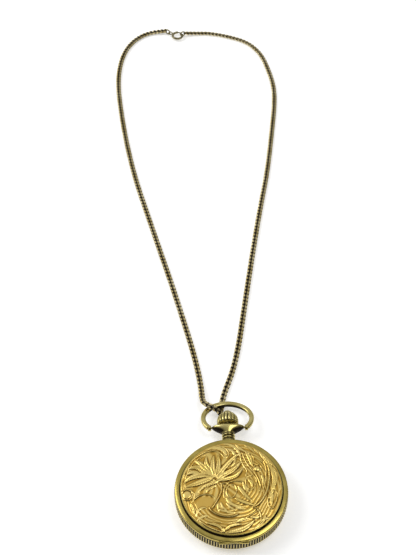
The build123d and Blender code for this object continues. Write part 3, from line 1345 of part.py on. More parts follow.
eye_centre = (clasp_centre[0] + around(clasp_eye_offset, left_line_angle)[0],
              clasp_centre[1] + around(clasp_eye_offset, left_line_angle)[1], clasp_level)
slot_height = clasp_bore_radius
with BuildPart() as spring_ring:
    with BuildSketch(clasp_radial(clasp_gap_start_angle)):
        with Locations((clasp_ring_radius, 0)):
            RegularPolygon(clasp_tube_radius, boss_sides)
    revolve(axis=clasp_axis, revolution_arc=360 - clasp_gap_angle)
    with BuildSketch(Plane(origin=eye_centre, x_dir=(1, 0, 0), z_dir=(0, -1, 0))):
        with Locations((clasp_eye_radius, 0)):
            RegularPolygon(clasp_eye_wire_radius, ring_sides)
    revolve(axis=Axis(eye_centre, (0, 0, 1)))
    with BuildSketch(clasp_radial(clasp_gap_start_angle - clasp_bolt_grip_angle / 2)):
        with Locations((clasp_ring_radius, 0)):
            RegularPolygon(clasp_bore_radius, arbor_sides)
    revolve(axis=clasp_axis, revolution_arc=hollow_angle + clasp_bolt_grip_angle / 2,
            mode=Mode.SUBTRACT)
    with BuildSketch(clasp_radial(gap_end_angle - clasp_bolt_grip_angle / 2)):
        with Locations((clasp_ring_radius, 0)):
            RegularPolygon(clasp_bore_radius, arbor_sides)
    revolve(axis=clasp_axis, revolution_arc=clasp_bolt_grip_angle, mode=Mode.SUBTRACT)
    with BuildSketch(clasp_radial(clasp_gap_start_angle - clasp_bolt_grip_angle / 2)):
        with Locations((clasp_ring_radius, 0)):
            Rectangle(clasp_tube_radius + overrun, slot_height, align=(Align.MIN, Align.CENTER))
    revolve(axis=clasp_axis, revolution_arc=clasp_bolt_grip_angle / 2 + clasp_slide_angle
            + 1.7 * clasp_nub_width_angle, mode=Mode.SUBTRACT)
pieces["spring_ring"] = spring_ring.part

with BuildPart() as clasp_bolt:
    with BuildSketch(clasp_radial(gap_end_angle - clasp_bolt_grip_angle / 4)):
        with Locations((clasp_ring_radius, 0)):
            RegularPolygon(clasp_bolt_radius, arbor_sides)
    revolve(axis=clasp_axis, revolution_arc=clasp_gap_angle + 1.25 * clasp_bolt_grip_angle)
    with BuildSketch(clasp_radial(clasp_gap_start_angle + clasp_nub_width_angle / 4)):
        with Locations((clasp_ring_radius, 0)):
            Rectangle(clasp_tube_radius + clasp_nub_height / 3, slot_height - 2 * running_gap,
                      align=(Align.MIN, Align.CENTER))
    revolve(axis=clasp_axis, revolution_arc=clasp_nub_width_angle)
pieces["clasp_bolt"] = clasp_bolt.part

for name, line_angle, offset in (("end_ring_left", left_line_angle, left_ring_offset),
                                 ("end_ring_right", right_line_angle, right_ring_offset)):
    upright = ring_plane(line_angle, offset, end_ring_level)
    with BuildPart() as end_ring:
        with BuildSketch(Plane(origin=upright.origin, x_dir=upright.x_dir, z_dir=(0, 0, 1))):
            with Locations((end_ring_radius, 0)):
                RegularPolygon(ring_wire_radius, ring_sides)
        revolve(axis=Axis(upright.origin, upright.z_dir))
    pieces[name] = end_ring.part

# Necklace route: hand-chosen corners from the left end ring, through the bow, to the right one
link_half_length = (link_pitch + link_play) / 2 + link_wire
chain_reach = end_ring_radius - ring_wire_radius
left_out = around(left_ring_offset + chain_reach, left_line_angle)
right_out = around(right_ring_offset + chain_reach, right_line_angle)
chain_start = (clasp_centre[0] + left_out[0], clasp_centre[1] + left_out[1], end_ring_level)
chain_end = (clasp_centre[0] + right_out[0], clasp_centre[1] + right_out[1], end_ring_level)
lie = 0.8
left_strand = [
    (-27.3, 268.9, lie), (-34.2, 266.4, lie), (-40.6, 259.6, lie), (-44.6, 249.4, lie),
    (-46.3, 236.4, lie), (-46.0, 222.0, lie), (-43.0, 197.0, lie), (-39.9, 178.0, lie),
    (-36.2, 160.0, lie), (-31.5, 142.0, lie), (-26.6, 123.0, lie), (-21.6, 104.0, lie),
    (-17.3, 86.5, lie), (-13.0, 68.5, lie), (-10.7, 56.2, lie), (-9.7, 47.6, 1.4),
    (-9.5, 41.4, 3.5)]
threading = [
    (-8.6, 38.9, 5.2), (-6.1, 37.2, 5.5), (-3.8, 36.2, 4.0), (-2.6, 36.7, 1.6),
    (-2.0, 39.6, 0.95)]
right_strand = [
    (-0.9, 45.5, lie), (3.2, 56.0, lie), (6.3, 69.0, lie), (8.9, 84.0, lie),
    (12.2, 103.0, lie), (15.8, 123.0, lie), (20.0, 145.0, lie), (24.6, 167.0, lie),
    (28.0, 190.0, lie), (31.0, 211.0, lie), (31.7, 225.0, lie), (29.6, 238.0, lie),
    (26.6, 250.0, lie), (20.6, 258.8, lie), (12.2, 263.4, lie), (1.6, 266.9, lie),
    (-6.6, 267.2, lie)]
route_points = [Vector(*point) for point in
                [chain_start] + left_strand + threading + right_strand + [chain_end]]
route_radii = []
for before, corner, after in zip(route_points, route_points[1:], route_points[2:]):
    shorter_run = min((corner - before).length, (after - corner).length)
    half_turn = math.radians((corner - before).get_angle(after - corner)) / 2
    route_radii.append(corner_round_share * shorter_run / math.tan(half_turn))
print("route radii", [round(radius, 1) for radius in route_radii])
with BuildLine() as route:
    FilletPolyline(*route_points, radius=route_radii)
route_wire = route.wires()[0]
route_length = route_wire.length
link_count = round(route_length / link_pitch)
link_step = route_length / link_count
left_count = round(link_count * left_strand_share)
print("route", round(route_length, 2), "links", link_count, "step", round(link_step, 4))

# One curb link: a four-cornered loop of square wire, its two ends twisted opposite ways
twist = math.radians(link_twist_angle)
half_span = (link_width - link_wire) / 2 / math.cos(twist)
corner_length = link_half_length - link_wire / 2
link_corners = []
for along, side in ((1, 1), (1, -1), (-1, -1), (-1, 1)):
    end_axis = Vector(0, math.cos(twist), along * math.sin(twist))
    link_corners.append((Vector(along * corner_length, 0, 0) + end_axis * (side * half_span),
                         Vector(along, 0, 0), end_axis * side,
                         Vector(0, -along * math.sin(twist), math.cos(twist))))
wire_rings = []
for corner, out_x, out_side, normal in link_corners:
    half = link_wire / 2
    wire_rings.append([corner + (out_x + out_side) * half + normal * half,
                       corner - (out_x + out_side) * half + normal * half,
                       corner - (out_x + out_side) * half - normal * half,
                       corner + (out_x + out_side) * half - normal * half])
link_faces = []
for index, ring in enumerate(wire_rings):
    following = wire_rings[(index + 1) % 4]
    for side in range(wire_corners):
        a, b = ring[side], ring[(side + 1) % wire_corners]
        c, d = following[(side + 1) % wire_corners], following[side]
        if index % 2 == 0:
            link_faces.append(Face(Wire.make_polygon([a, b, c, d])))
        else:
            link_faces.append(Face(Wire.make_polygon([a, b, c])))
            link_faces.append(Face(Wire.make_polygon([a, c, d])))
curb_link = Solid(Shell(link_faces))

placed_links = []
for index in range(link_count):
    along_route = (index + 0.5) * link_step
    place = route_wire.position_at(along_route, position_mode=PositionMode.LENGTH)
    heading = route_wire.tangent_at(along_route, position_mode=PositionMode.LENGTH)
    upward = (Vector(0, 0, 1) - heading * heading.Z).normalized()
    placed_links.append(curb_link.moved(Plane(origin=place, x_dir=heading, z_dir=upward).location))
pieces["chain_left"] = Compound(children=placed_links[:left_count])
pieces["chain_right"] = Compound(children=placed_links[left_count:])

for name, piece in pieces.items():
    piece.label = name
    export_step(piece, f"parts/{name}.step")
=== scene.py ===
import json
import math
import bmesh
import bpy
import numpy as np
from mathutils import Euler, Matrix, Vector


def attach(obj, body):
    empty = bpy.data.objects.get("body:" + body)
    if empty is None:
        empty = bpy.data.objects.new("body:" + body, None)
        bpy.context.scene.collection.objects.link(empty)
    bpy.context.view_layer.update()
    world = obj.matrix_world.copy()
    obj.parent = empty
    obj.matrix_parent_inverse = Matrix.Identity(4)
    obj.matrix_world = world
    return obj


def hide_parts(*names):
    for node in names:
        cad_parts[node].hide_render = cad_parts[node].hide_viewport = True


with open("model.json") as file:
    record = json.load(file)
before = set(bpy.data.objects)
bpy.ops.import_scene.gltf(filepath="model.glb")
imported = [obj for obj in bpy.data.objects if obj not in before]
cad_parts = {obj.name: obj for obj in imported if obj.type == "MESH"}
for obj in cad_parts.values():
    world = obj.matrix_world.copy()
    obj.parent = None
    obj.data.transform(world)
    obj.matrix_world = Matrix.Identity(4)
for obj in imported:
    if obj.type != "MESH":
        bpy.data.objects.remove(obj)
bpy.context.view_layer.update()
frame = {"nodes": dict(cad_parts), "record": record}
cad_nodes = frame["nodes"]
mm = 0.001

# The view: the watch lies on its back on pale paper under two soft boxes, with the dark of
# the room low in front of it, which draws the dark lines in the polished gold.
scene = bpy.context.scene


def in_scene(name, data):
    """A new object of this name and data, in the scene."""
    made = bpy.data.objects.new(name, data)
    scene.collection.objects.link(made)
    return made


camera_data = bpy.data.cameras.new("camera")
camera_data.sensor_fit = "VERTICAL"
camera_data.sensor_height = 24
camera_data.lens = 46.753
camera_data.clip_start = 0.01
camera = in_scene("camera", camera_data)
camera.location = (-14.43 * mm, -182.2 * mm, 369.1 * mm)
heading, pitch = math.radians(1.84), math.radians(52.06)
sight = Vector((math.sin(heading) * math.cos(pitch), math.cos(heading) * math.cos(pitch),
                -math.sin(pitch)))
camera.rotation_euler = sight.to_track_quat("-Z", "Y").to_euler()
scene.camera = camera
scene.view_settings.view_transform = "Standard"


class Value:
    """A shader value that is used in ordinary sums."""

    def __init__(self, finish, socket):
        self.finish = finish
        self.socket = socket

    def sum_of(self, operation, *terms):
        return self.finish.node("ShaderNodeMath", {"operation": operation},
                                dict(enumerate(terms)))

    def __add__(self, other):
        return self.sum_of("ADD", self, other)

    def __rsub__(self, other):
        return self.sum_of("SUBTRACT", other, self)

    def __mul__(self, other):
        return self.sum_of("MULTIPLY", self, other)

    def __pow__(self, other):
        return self.sum_of("POWER", self, other)

    __radd__ = __add__
    __rmul__ = __mul__


class Finish:
    """A surface finish: a Principled shader and the nodes that feed it."""

    def __init__(self, name, **settings):
        self.material = bpy.data.materials.new(name)
        self.material.use_nodes = True
        self.tree = self.material.node_tree
        self.shader = self.tree.nodes["Principled BSDF"]
        for socket, value in settings.items():
            self.shader.inputs[socket.replace("_", " ").title().replace("Ior", "IOR")].default_value = value

    def node(self, kind, settings=None, values=None, out=0):
        made = self.tree.nodes.new(kind)
        for name, value in (settings or {}).items():
            setattr(made, name, value)
        for name, value in (values or {}).items():
            if isinstance(value, Value):
                self.tree.links.new(value.socket, made.inputs[name])
            else:
                made.inputs[name].default_value = value
        return Value(self, made.outputs[out])

    def feed(self, socket, value):
        self.tree.links.new(value.socket, self.shader.inputs[socket])

    def place(self):
        return self.node("ShaderNodeTexCoord", out="Object")

    def noise(self, scale, detail=3.0, vector=None):
        return self.node("ShaderNodeTexNoise", {}, {"Vector": vector or self.place(),
                                                    "Scale": scale, "Detail": detail})

    def mix(self, factor, *tones):
        first, second = (tone if isinstance(tone, Value) else (*tone, 1) for tone in tones)
        return self.node("ShaderNodeMix", {"data_type": "RGBA"},
                         {0: factor, 6: first, 7: second}, out=2)

    def colour(self, factor, first, second):
        self.feed("Base Color", self.mix(factor, first, second))

    def attribute(self, name):
        return self.node("ShaderNodeAttribute", {"attribute_name": name}, out="Fac")

    def ramp(self, value, low, high):
        return self.node("ShaderNodeMapRange", {}, {0: value, 1: low, 2: high})

    def radius_and_height(self):
        """Distance from the watch's axis and height over its foot, in millimetres."""
        apart = self.node("ShaderNodeVectorMath", {"operation": "SCALE"},
                          {0: self.place(), "Scale": 1000.0})
        parts = self.tree.nodes.new("ShaderNodeSeparateXYZ")
        self.tree.links.new(apart.socket, parts.inputs[0])
        x, y, z = (Value(self, socket) for socket in parts.outputs)
        return (x * x + y * y) ** 0.5, z

    def band(self, value, low, high, soft):
        """1 between low and high, 0 outside, with soft edges."""
        return self.ramp(value, low - soft, low) * (1 - self.ramp(value, high, high + soft))

    def bump(self, height, strength, distance):
        self.feed("Normal", self.node("ShaderNodeBump", {}, {
            "Height": height, "Strength": strength, "Distance": distance}))


paper = Finish("pale_paper", Roughness=0.85, Emission_Strength=0.45)
paper.colour(paper.noise(40.0), (0.93, 0.93, 0.93), (0.96, 0.96, 0.96))
paper.shader.inputs["Emission Color"].default_value = (1, 1, 1, 1)
floor_mesh = bpy.data.meshes.new("floor")
floor_reach, floor_level = 1.6, -0.00002
floor_mesh.from_pydata([(x * floor_reach, y * floor_reach, floor_level)
                        for x, y in ((-1, -1), (1, -1), (1, 1), (-1, 1))], [], [(0, 1, 2, 3)])
floor_mesh.materials.append(paper.material)
floor = in_scene("floor", floor_mesh)

world = bpy.data.worlds.new("studio")
world.use_nodes = True
scene.world = world
sky = world.node_tree
sky_place = sky.nodes.new("ShaderNodeTexCoord")
sky_turn = sky.nodes.new("ShaderNodeVectorMath")
sky_turn.operation = "DOT_PRODUCT"
sky_turn.inputs[1].default_value = (-0.12, 0.66, 0.74)
sky_ramp = sky.nodes.new("ShaderNodeValToRGB")
sky.links.new(sky_place.outputs["Generated"], sky_turn.inputs[0])
sky.links.new(sky_turn.outputs["Value"], sky_ramp.inputs["Fac"])
sky.links.new(sky_ramp.outputs["Color"], sky.nodes["Background"].inputs["Color"])
sky_ramp.color_ramp.elements[0].position = 0.0
sky_ramp.color_ramp.elements[0].color = (0.015, 0.014, 0.012, 1)
sky_ramp.color_ramp.elements[1].position = 1.0
sky_ramp.color_ramp.elements[1].color = (0.68, 0.68, 0.67, 1)
for stop, light in ((0.26, 0.04), (0.5, 0.26), (0.78, 0.5)):
    sky_ramp.color_ramp.elements.new(stop).color = (light, light, light * 0.98, 1)
sky.nodes["Background"].inputs["Strength"].default_value = 1.0

for name, place, aim, size, power in (
        ("soft_box_left", (-0.95, 0.35, 0.9), (0, 0.08, 0), 0.8, 7.0),
        ("soft_box_top", (0.45, 0.0, 1.2), (0, 0.1, 0), 0.6, 3.5)):
    light_data = bpy.data.lights.new(name, "AREA")
    light_data.shape = "SQUARE"
    light_data.size = size
    light_data.energy = power
    light = in_scene(name, light_data)
    light.location = place
    light.rotation_euler = (Vector(aim) - Vector(place)).to_track_quat("-Z", "Y").to_euler()

# The necklace: gold-plated curb chain in two strands, which meet where it passes through
# the bow. Each link is an oval of round wire, twisted so that the chain lies flat.
joining = (-3.2, 36.45, 2.8)
left_route = (
    joining, (-3.8, 36.2, 4.0), (-6.1, 37.2, 5.5), (-8.6, 38.9, 5.2), (-9.5, 41.4, 3.5),
    (-9.7, 47.6, 1.4), (-10.7, 56.2, 0.8), (-13.0, 68.5, 0.8), (-17.3, 86.5, 0.8),
    (-21.6, 104.0, 0.8), (-26.6, 123.0, 0.8), (-31.5, 142.0, 0.8), (-36.2, 160.0, 0.8),
    (-39.9, 178.0, 0.8), (-43.0, 197.0, 0.8), (-46.0, 222.0, 0.8), (-46.3, 236.4, 0.8),
    (-44.6, 249.4, 0.8), (-40.6, 259.6, 0.8), (-34.2, 266.4, 0.8), (-27.3, 268.9, 0.8),
    (-22.03, 268.48, 1.6))
right_route = (
    joining, (-2.6, 36.7, 1.6), (-2.0, 39.6, 0.95), (-0.9, 45.5, 0.8), (3.2, 56.0, 0.8),
    (6.3, 69.0, 0.8), (8.9, 84.0, 0.8), (12.2, 103.0, 0.8), (15.8, 123.0, 0.8),
    (20.0, 145.0, 0.8), (24.6, 167.0, 0.8), (28.0, 190.0, 0.8), (31.0, 211.0, 0.8),
    (31.7, 225.0, 0.8), (29.6, 238.0, 0.8), (26.6, 250.0, 0.8), (20.6, 258.8, 0.8),
    (12.2, 263.4, 0.8), (1.6, 266.9, 0.8), (-6.6, 267.2, 0.8), (-12.26, 266.44, 1.6))
link_pitch = 1.906 * mm
link_width = 1.9 * mm
link_wire = 0.72 * mm
link_twist = math.radians(42)
link_lie = Euler((0, math.radians(-13), math.radians(20))).to_matrix()

chain_gold = Finish("chain_gold", Metallic=1.0, Specular_IOR_Level=0.1)
tarnish = chain_gold.attribute("tarnish")
patches = chain_gold.noise(220.0, 2.0)
plated = chain_gold.mix(chain_gold.ramp(patches, 0.35, 0.65), (0.66, 0.52, 0.22), (1.0, 0.86, 0.5))
# painted shade: the links are coloured near black in their holes and at their ends, under their neighbours
chain_gold.colour(tarnish, plated, (0.006, 0.002, 0.0005))
chain_gold.feed("Roughness", 0.2 + 0.35 * tarnish + 0.1 * patches)
chain_gold.feed("Metallic", 1 - 0.9 * tarnish)
chain_gold.bump(chain_gold.noise(2500.0, 2.0), 0.15, 0.00003)


def turns(count, offset=0.0):
    """Equal steps once round a circle, in radians."""
    return [2 * math.pi * (step + offset) / count for step in range(count)]


# one link: rings of six corners along the twisted oval, whose wire is drawn in until the
# hole closes; shade is painted dark in the hole and where its ends turn under the next links
link_stations, wire_corners = 14, 6
half_length = 1.43 * mm
link_spread = 0.27 * mm
half_width = (link_width - link_wire) / 2 + link_spread
wire_share, hole_share = 0.5, 1.35
bright_share, fading_share = 0.38, 0.2
link_corners, link_painted_shade = [], []
for turn in turns(link_stations, 0.5):
    along, side = math.cos(turn), math.sin(turn)
    twist = link_twist * along
    side_axis = Vector((0, math.cos(twist), math.sin(twist)))
    face_axis = Vector((0, -math.sin(twist), math.cos(twist)))
    outward = (Vector((along * half_width, 0, 0)) + side_axis * (side * half_length)).normalized()
    middle = Vector((along * half_length, 0, 0)) + side_axis * (side * half_width)
    for angle in turns(wire_corners, 0.5):
        reach_share = wire_share if math.cos(angle) > 0 else hole_share
        link_corners.append(link_lie @ (
            middle + outward * (math.cos(angle) * link_wire * reach_share)
            + face_axis * (math.sin(angle) * link_wire * wire_share)))
        # painted shade, from the hole side of the wire and from the link's ends
        link_painted_shade.append(max(min(1, -1.3 * math.cos(angle)),
                                min(1, (abs(along) - bright_share) / fading_share), 0))
link_mesh = bpy.data.meshes.new("curb_link")
link_mesh.from_pydata(link_corners, [], [
    (station * wire_corners + corner,
     station * wire_corners + (corner + 1) % wire_corners,
     (station + 1) % link_stations * wire_corners + (corner + 1) % wire_corners,
     (station + 1) % link_stations * wire_corners + corner)
    for station in range(link_stations) for corner in range(wire_corners)])
link_mesh.attributes.new("tarnish", "FLOAT", "POINT").data.foreach_set("value", link_painted_shade)
link_mesh.shade_smooth()
curb_link = in_scene("curb_link", link_mesh)


def tree_node(tree, kind, settings=None, links=None, values=None):
    """One Geometry node with its settings, its links from other sockets and its values."""
    made = tree.nodes.new(kind)
    for name, value in (settings or {}).items():
        setattr(made, name, value)
    for name, value in (values or {}).items():
        made.inputs[name].default_value = value
    for name, socket in (links or {}).items():
        tree.links.new(socket, made.inputs[name])
    return made


def new_tree(name, inputs, result):
    """A Geometry Nodes tree with named inputs and one result, and its input node."""
    tree = bpy.data.node_groups.new(name, "GeometryNodeTree")
    for socket, kind in inputs.items():
        tree.interface.new_socket(socket, in_out="INPUT", socket_type="NodeSocket" + kind)
    tree.interface.new_socket(result, in_out="OUTPUT", socket_type="NodeSocketGeometry")
    return tree, tree_node(tree, "NodeGroupInput")


def end_tree(tree, points, shape, rotation, material):
    """Sets the shape on the points, makes it real and gives it its material."""
    placed = tree_node(tree, "GeometryNodeInstanceOnPoints", {},
                       {"Points": points, "Instance": shape, "Rotation": rotation})
    real = tree_node(tree, "GeometryNodeRealizeInstances", {}, {0: placed.outputs[0]})
    dressed = tree_node(tree, "GeometryNodeSetMaterial", {},
                        {0: real.outputs[0], "Material": material})
    tree_node(tree, "NodeGroupOutput", {}, {0: dressed.outputs[0]})


def run_tree(piece, tree, chosen):
    """Puts the tree on a piece, with the chosen values for its inputs."""
    modifier = piece.modifiers.new(tree.name, "NODES")
    modifier.node_group = tree
    for socket in tree.interface.items_tree:
        if socket.in_out == "INPUT" and socket.name in chosen:
            modifier[socket.identifier] = chosen[socket.name]


strand_tree, entry = new_tree("links_on_route", {
    "Route": "Geometry", "Link": "Object", "Links": "Int", "Start": "Float", "End": "Float",
    "Metal": "Material"}, "Chain")
trim = tree_node(strand_tree, "GeometryNodeTrimCurve", {"mode": "LENGTH"},
                 {0: entry.outputs["Route"], 4: entry.outputs["Start"], 5: entry.outputs["End"]})
spread = tree_node(strand_tree, "GeometryNodeResampleCurve", {"mode": "COUNT"},
                   {"Curve": trim.outputs[0], "Count": entry.outputs["Links"]})
tangent = tree_node(strand_tree, "GeometryNodeInputTangent")
along_route = tree_node(strand_tree, "FunctionNodeAlignRotationToVector", {"axis": "X"},
                        {"Vector": tangent.outputs[0]})
face_up = tree_node(strand_tree, "FunctionNodeAlignRotationToVector",
                    {"axis": "Z", "pivot_axis": "X"},
                    {"Rotation": along_route.outputs[0]}, {"Vector": (0, 0, 1)})
link_shape = tree_node(strand_tree, "GeometryNodeObjectInfo", {}, {"Object": entry.outputs["Link"]})
end_tree(strand_tree, spread.outputs[0], link_shape.outputs["Geometry"], face_up.outputs[0],
         entry.outputs["Metal"])


def evaluated_mesh(source, name):
    """The mesh that an object's modifiers make of it."""
    bpy.context.view_layer.update()
    seen = source.evaluated_get(bpy.context.evaluated_depsgraph_get())
    mesh = bpy.data.meshes.new_from_object(seen, preserve_all_data_layers=True,
                                           depsgraph=bpy.context.evaluated_depsgraph_get())
    mesh.name = name
    return mesh


strands = {}
for name, route in (("left", left_route), ("right", right_route)):
    route_data = bpy.data.curves.new("route_" + name, "CURVE")
    route_data.dimensions = "3D"
    spline = route_data.splines.new("NURBS")
    spline.points.add(len(route) - 1)
    for point, (x, y, z) in zip(spline.points, route):
        point.co = (x * mm, y * mm, z * mm, 1)
    spline.order_u = 3
    spline.use_endpoint_u = True
    spline.resolution_u = 16
    route_object = in_scene("route_" + name, route_data)
    path = [vertex.co.copy() for vertex in evaluated_mesh(route_object, "path_" + name).vertices]
    length = sum((after - before).length for before, after in zip(path, path[1:]))
    links = round(length / link_pitch)
    step = length / links
    run_tree(route_object, strand_tree, {
        "Link": curb_link, "Links": links, "Start": step / 2, "End": length - step / 2,
        "Metal": chain_gold.material})
    strand_mesh = evaluated_mesh(route_object, "chain_strand_" + name)
    strands[name] = (in_scene("chain_strand_" + name, strand_mesh), path, length)
    bpy.data.objects.remove(route_object)
bpy.data.objects.remove(curb_link)

# End rings and spring ring: a plain jump ring on each end of the chain, and the hollow
# sprung ring between them, in duller gold than the chain.
clasp_gold = Finish("clasp_gold", Metallic=1.0, Specular_IOR_Level=0.1)
clasp_cloud = clasp_gold.noise(300.0, 3.0)
clasp_gold.colour(clasp_cloud, (0.1, 0.075, 0.03), (0.6, 0.54, 0.33))
clasp_gold.feed("Roughness", 0.16 + 0.2 * clasp_cloud)
clasp_gold.bump(clasp_gold.noise(1800.0, 2.0), 0.12, 0.00003)


def skinned(name, rings, finish, closed_length=False):
    """A surface through rings of points, joined end to end or capped at both ends."""
    count, around = len(rings), len(rings[0])
    points = [tuple(point) for ring in rings for point in ring]
    faces = [(ring * around + corner, ring * around + (corner + 1) % around,
              (ring + 1) % count * around + (corner + 1) % around,
              (ring + 1) % count * around + corner)
             for ring in range(count if closed_length else count - 1)
             for corner in range(around)]
    if not closed_length:
        for ring, turn in ((rings[0], -1), (rings[-1], 1)):
            points.append(tuple(sum((Vector(point) for point in ring), Vector()) / around))
            start = 0 if ring is rings[0] else (count - 1) * around
            for corner in range(around):
                face = (start + corner, start + (corner + 1) % around, len(points) - 1)
                faces.append(face[::turn])
    mesh = bpy.data.meshes.new(name)
    mesh.from_pydata(points, [], faces)
    shaped = bmesh.new()
    shaped.from_mesh(mesh)
    bmesh.ops.remove_doubles(shaped, verts=shaped.verts, dist=1e-7)
    bmesh.ops.recalc_face_normals(shaped, faces=shaped.faces)
    shaped.to_mesh(mesh)
    shaped.free()
    mesh.shade_smooth()
    mesh.set_sharp_from_angle(angle=math.radians(38))
    mesh.materials.append(finish.material)
    return in_scene(name, mesh)


clasp_centre = Vector((-16.0, 265.0, 0))
end_ring_radius, end_ring_wire, end_ring_level = 1.25, 0.34, 1.6
end_rings = {}
for name, angle, offset in (("left", 150.0, 5.85), ("right", 21.0, 2.9)):
    out = Vector((math.cos(math.radians(angle)), math.sin(math.radians(angle)), 0))
    across = Vector((-out.y, out.x, 0))
    centre = clasp_centre + out * offset + Vector((0, 0, end_ring_level))
    rings = []
    for turn in turns(40):
        spoke = out * math.cos(turn) + Vector((0, 0, math.sin(turn)))
        rings.append([(centre + spoke * (end_ring_radius + end_ring_wire * math.cos(lean))
                       + across * (end_ring_wire * math.sin(lean))) * mm for lean in turns(10)])
    ring = skinned("end_ring_wire_" + name, rings, clasp_gold, closed_length=True)
    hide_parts("end_ring_" + name)
    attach(ring, "bow")
    end_rings[name] = ring

for name, with_pieces in (("left", [cad_nodes["spring_ring"], cad_nodes["clasp_bolt"],
                                    end_rings["left"]]),
                          ("right", [end_rings["right"]])):
    strand, path, length = strands[name]
    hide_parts("chain_" + name)
    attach(strand, "bow")

# Front lid: gold-plated, turned with a flat margin and a step up to the panel, which is
# chased all over with scrolls, leaves and an open flower on a ground of fine lines.
lid_radius, panel_radius, recess_radius = 20.8, 18.9, 18.35
lid_bottom, margin_top, step_top, panel_edge = 7.63, 8.8, 9.7, 10.12
relief_radius, dome_rise, highest = 18.45, 0.75, 11.29
case_gold = Finish("case_gold", Metallic=1.0)
wear = case_gold.noise(160.0, 4.0)
fine_wear = case_gold.noise(1500.0, 2.0)
hollow = case_gold.attribute("hollow")
ground = case_gold.attribute("ground")
bright_gold = case_gold.mix(case_gold.ramp(wear, 0.3, 0.7), (0.84, 0.6, 0.15), (0.95, 0.74, 0.27))
aged_gold = case_gold.mix(ground, bright_gold, (0.62, 0.38, 0.07))
# painted shade: the chasing's hollows are coloured dark brown
case_gold.colour(hollow, aged_gold, (0.2, 0.1, 0.01))
case_gold.feed("Roughness", 0.2 + 0.14 * wear + 0.12 * ground + 0.2 * hollow)
case_gold.bump(fine_wear + 2.5 * ground * case_gold.noise(2600.0, 1.0), 0.3, 0.00004)

margin_gold = Finish("margin_gold", Metallic=1.0, Specular_IOR_Level=0.1)
rubbed = margin_gold.noise(240.0, 4.0)
across, up = margin_gold.radius_and_height()
# painted shade: the step up to the panel and its lower bevel are coloured near black, as if in shadow
step_shade = (margin_gold.band(up, margin_top - 0.1, step_top + 0.2, 0.1)
           * margin_gold.band(across, relief_radius - 0.05, panel_radius + 0.25, 0.1))
worn = margin_gold.mix(margin_gold.ramp(rubbed, 0.3, 0.7), (0.4, 0.31, 0.07), (0.56, 0.44, 0.12))
margin_gold.colour(step_shade, worn, (0.02, 0.011, 0.002))
margin_gold.feed("Roughness", 0.14 + 0.16 * rubbed + 0.3 * step_shade)
margin_gold.feed("Metallic", 1 - 0.8 * step_shade)
margin_gold.bump(margin_gold.noise(1500.0, 2.0), 0.15, 0.00003)

band_gold = Finish("band_gold", Metallic=1.0, Specular_IOR_Level=0.1)
band_cloud = band_gold.noise(300.0, 3.0)
across, up = band_gold.radius_and_height()
reeds_bottom, reeds_top, reed_valley, reed_crest = 3.3, 7.7, 20.84, 20.96
wall_inside, wall_middle = 19.9, 20.3
# painted shade: the grooves between the reeds are coloured near black
reed_groove_shade = (band_gold.band(up, reeds_bottom, reeds_top, 0.05)
            * (1 - band_gold.ramp(across, reed_valley, reed_crest)))
reed_groove_shade = reed_groove_shade * band_gold.ramp(across, wall_inside, wall_middle)
worn = band_gold.mix(band_cloud, (0.5, 0.4, 0.12), (0.74, 0.6, 0.24))
band_gold.colour(reed_groove_shade, worn, (0.008, 0.004, 0.001))
band_gold.feed("Roughness", 0.16 + 0.16 * band_cloud + 0.3 * reed_groove_shade)
band_gold.feed("Metallic", 1 - 0.9 * reed_groove_shade)
band_gold.bump(band_gold.noise(1500.0, 2.0), 0.15, 0.00003)

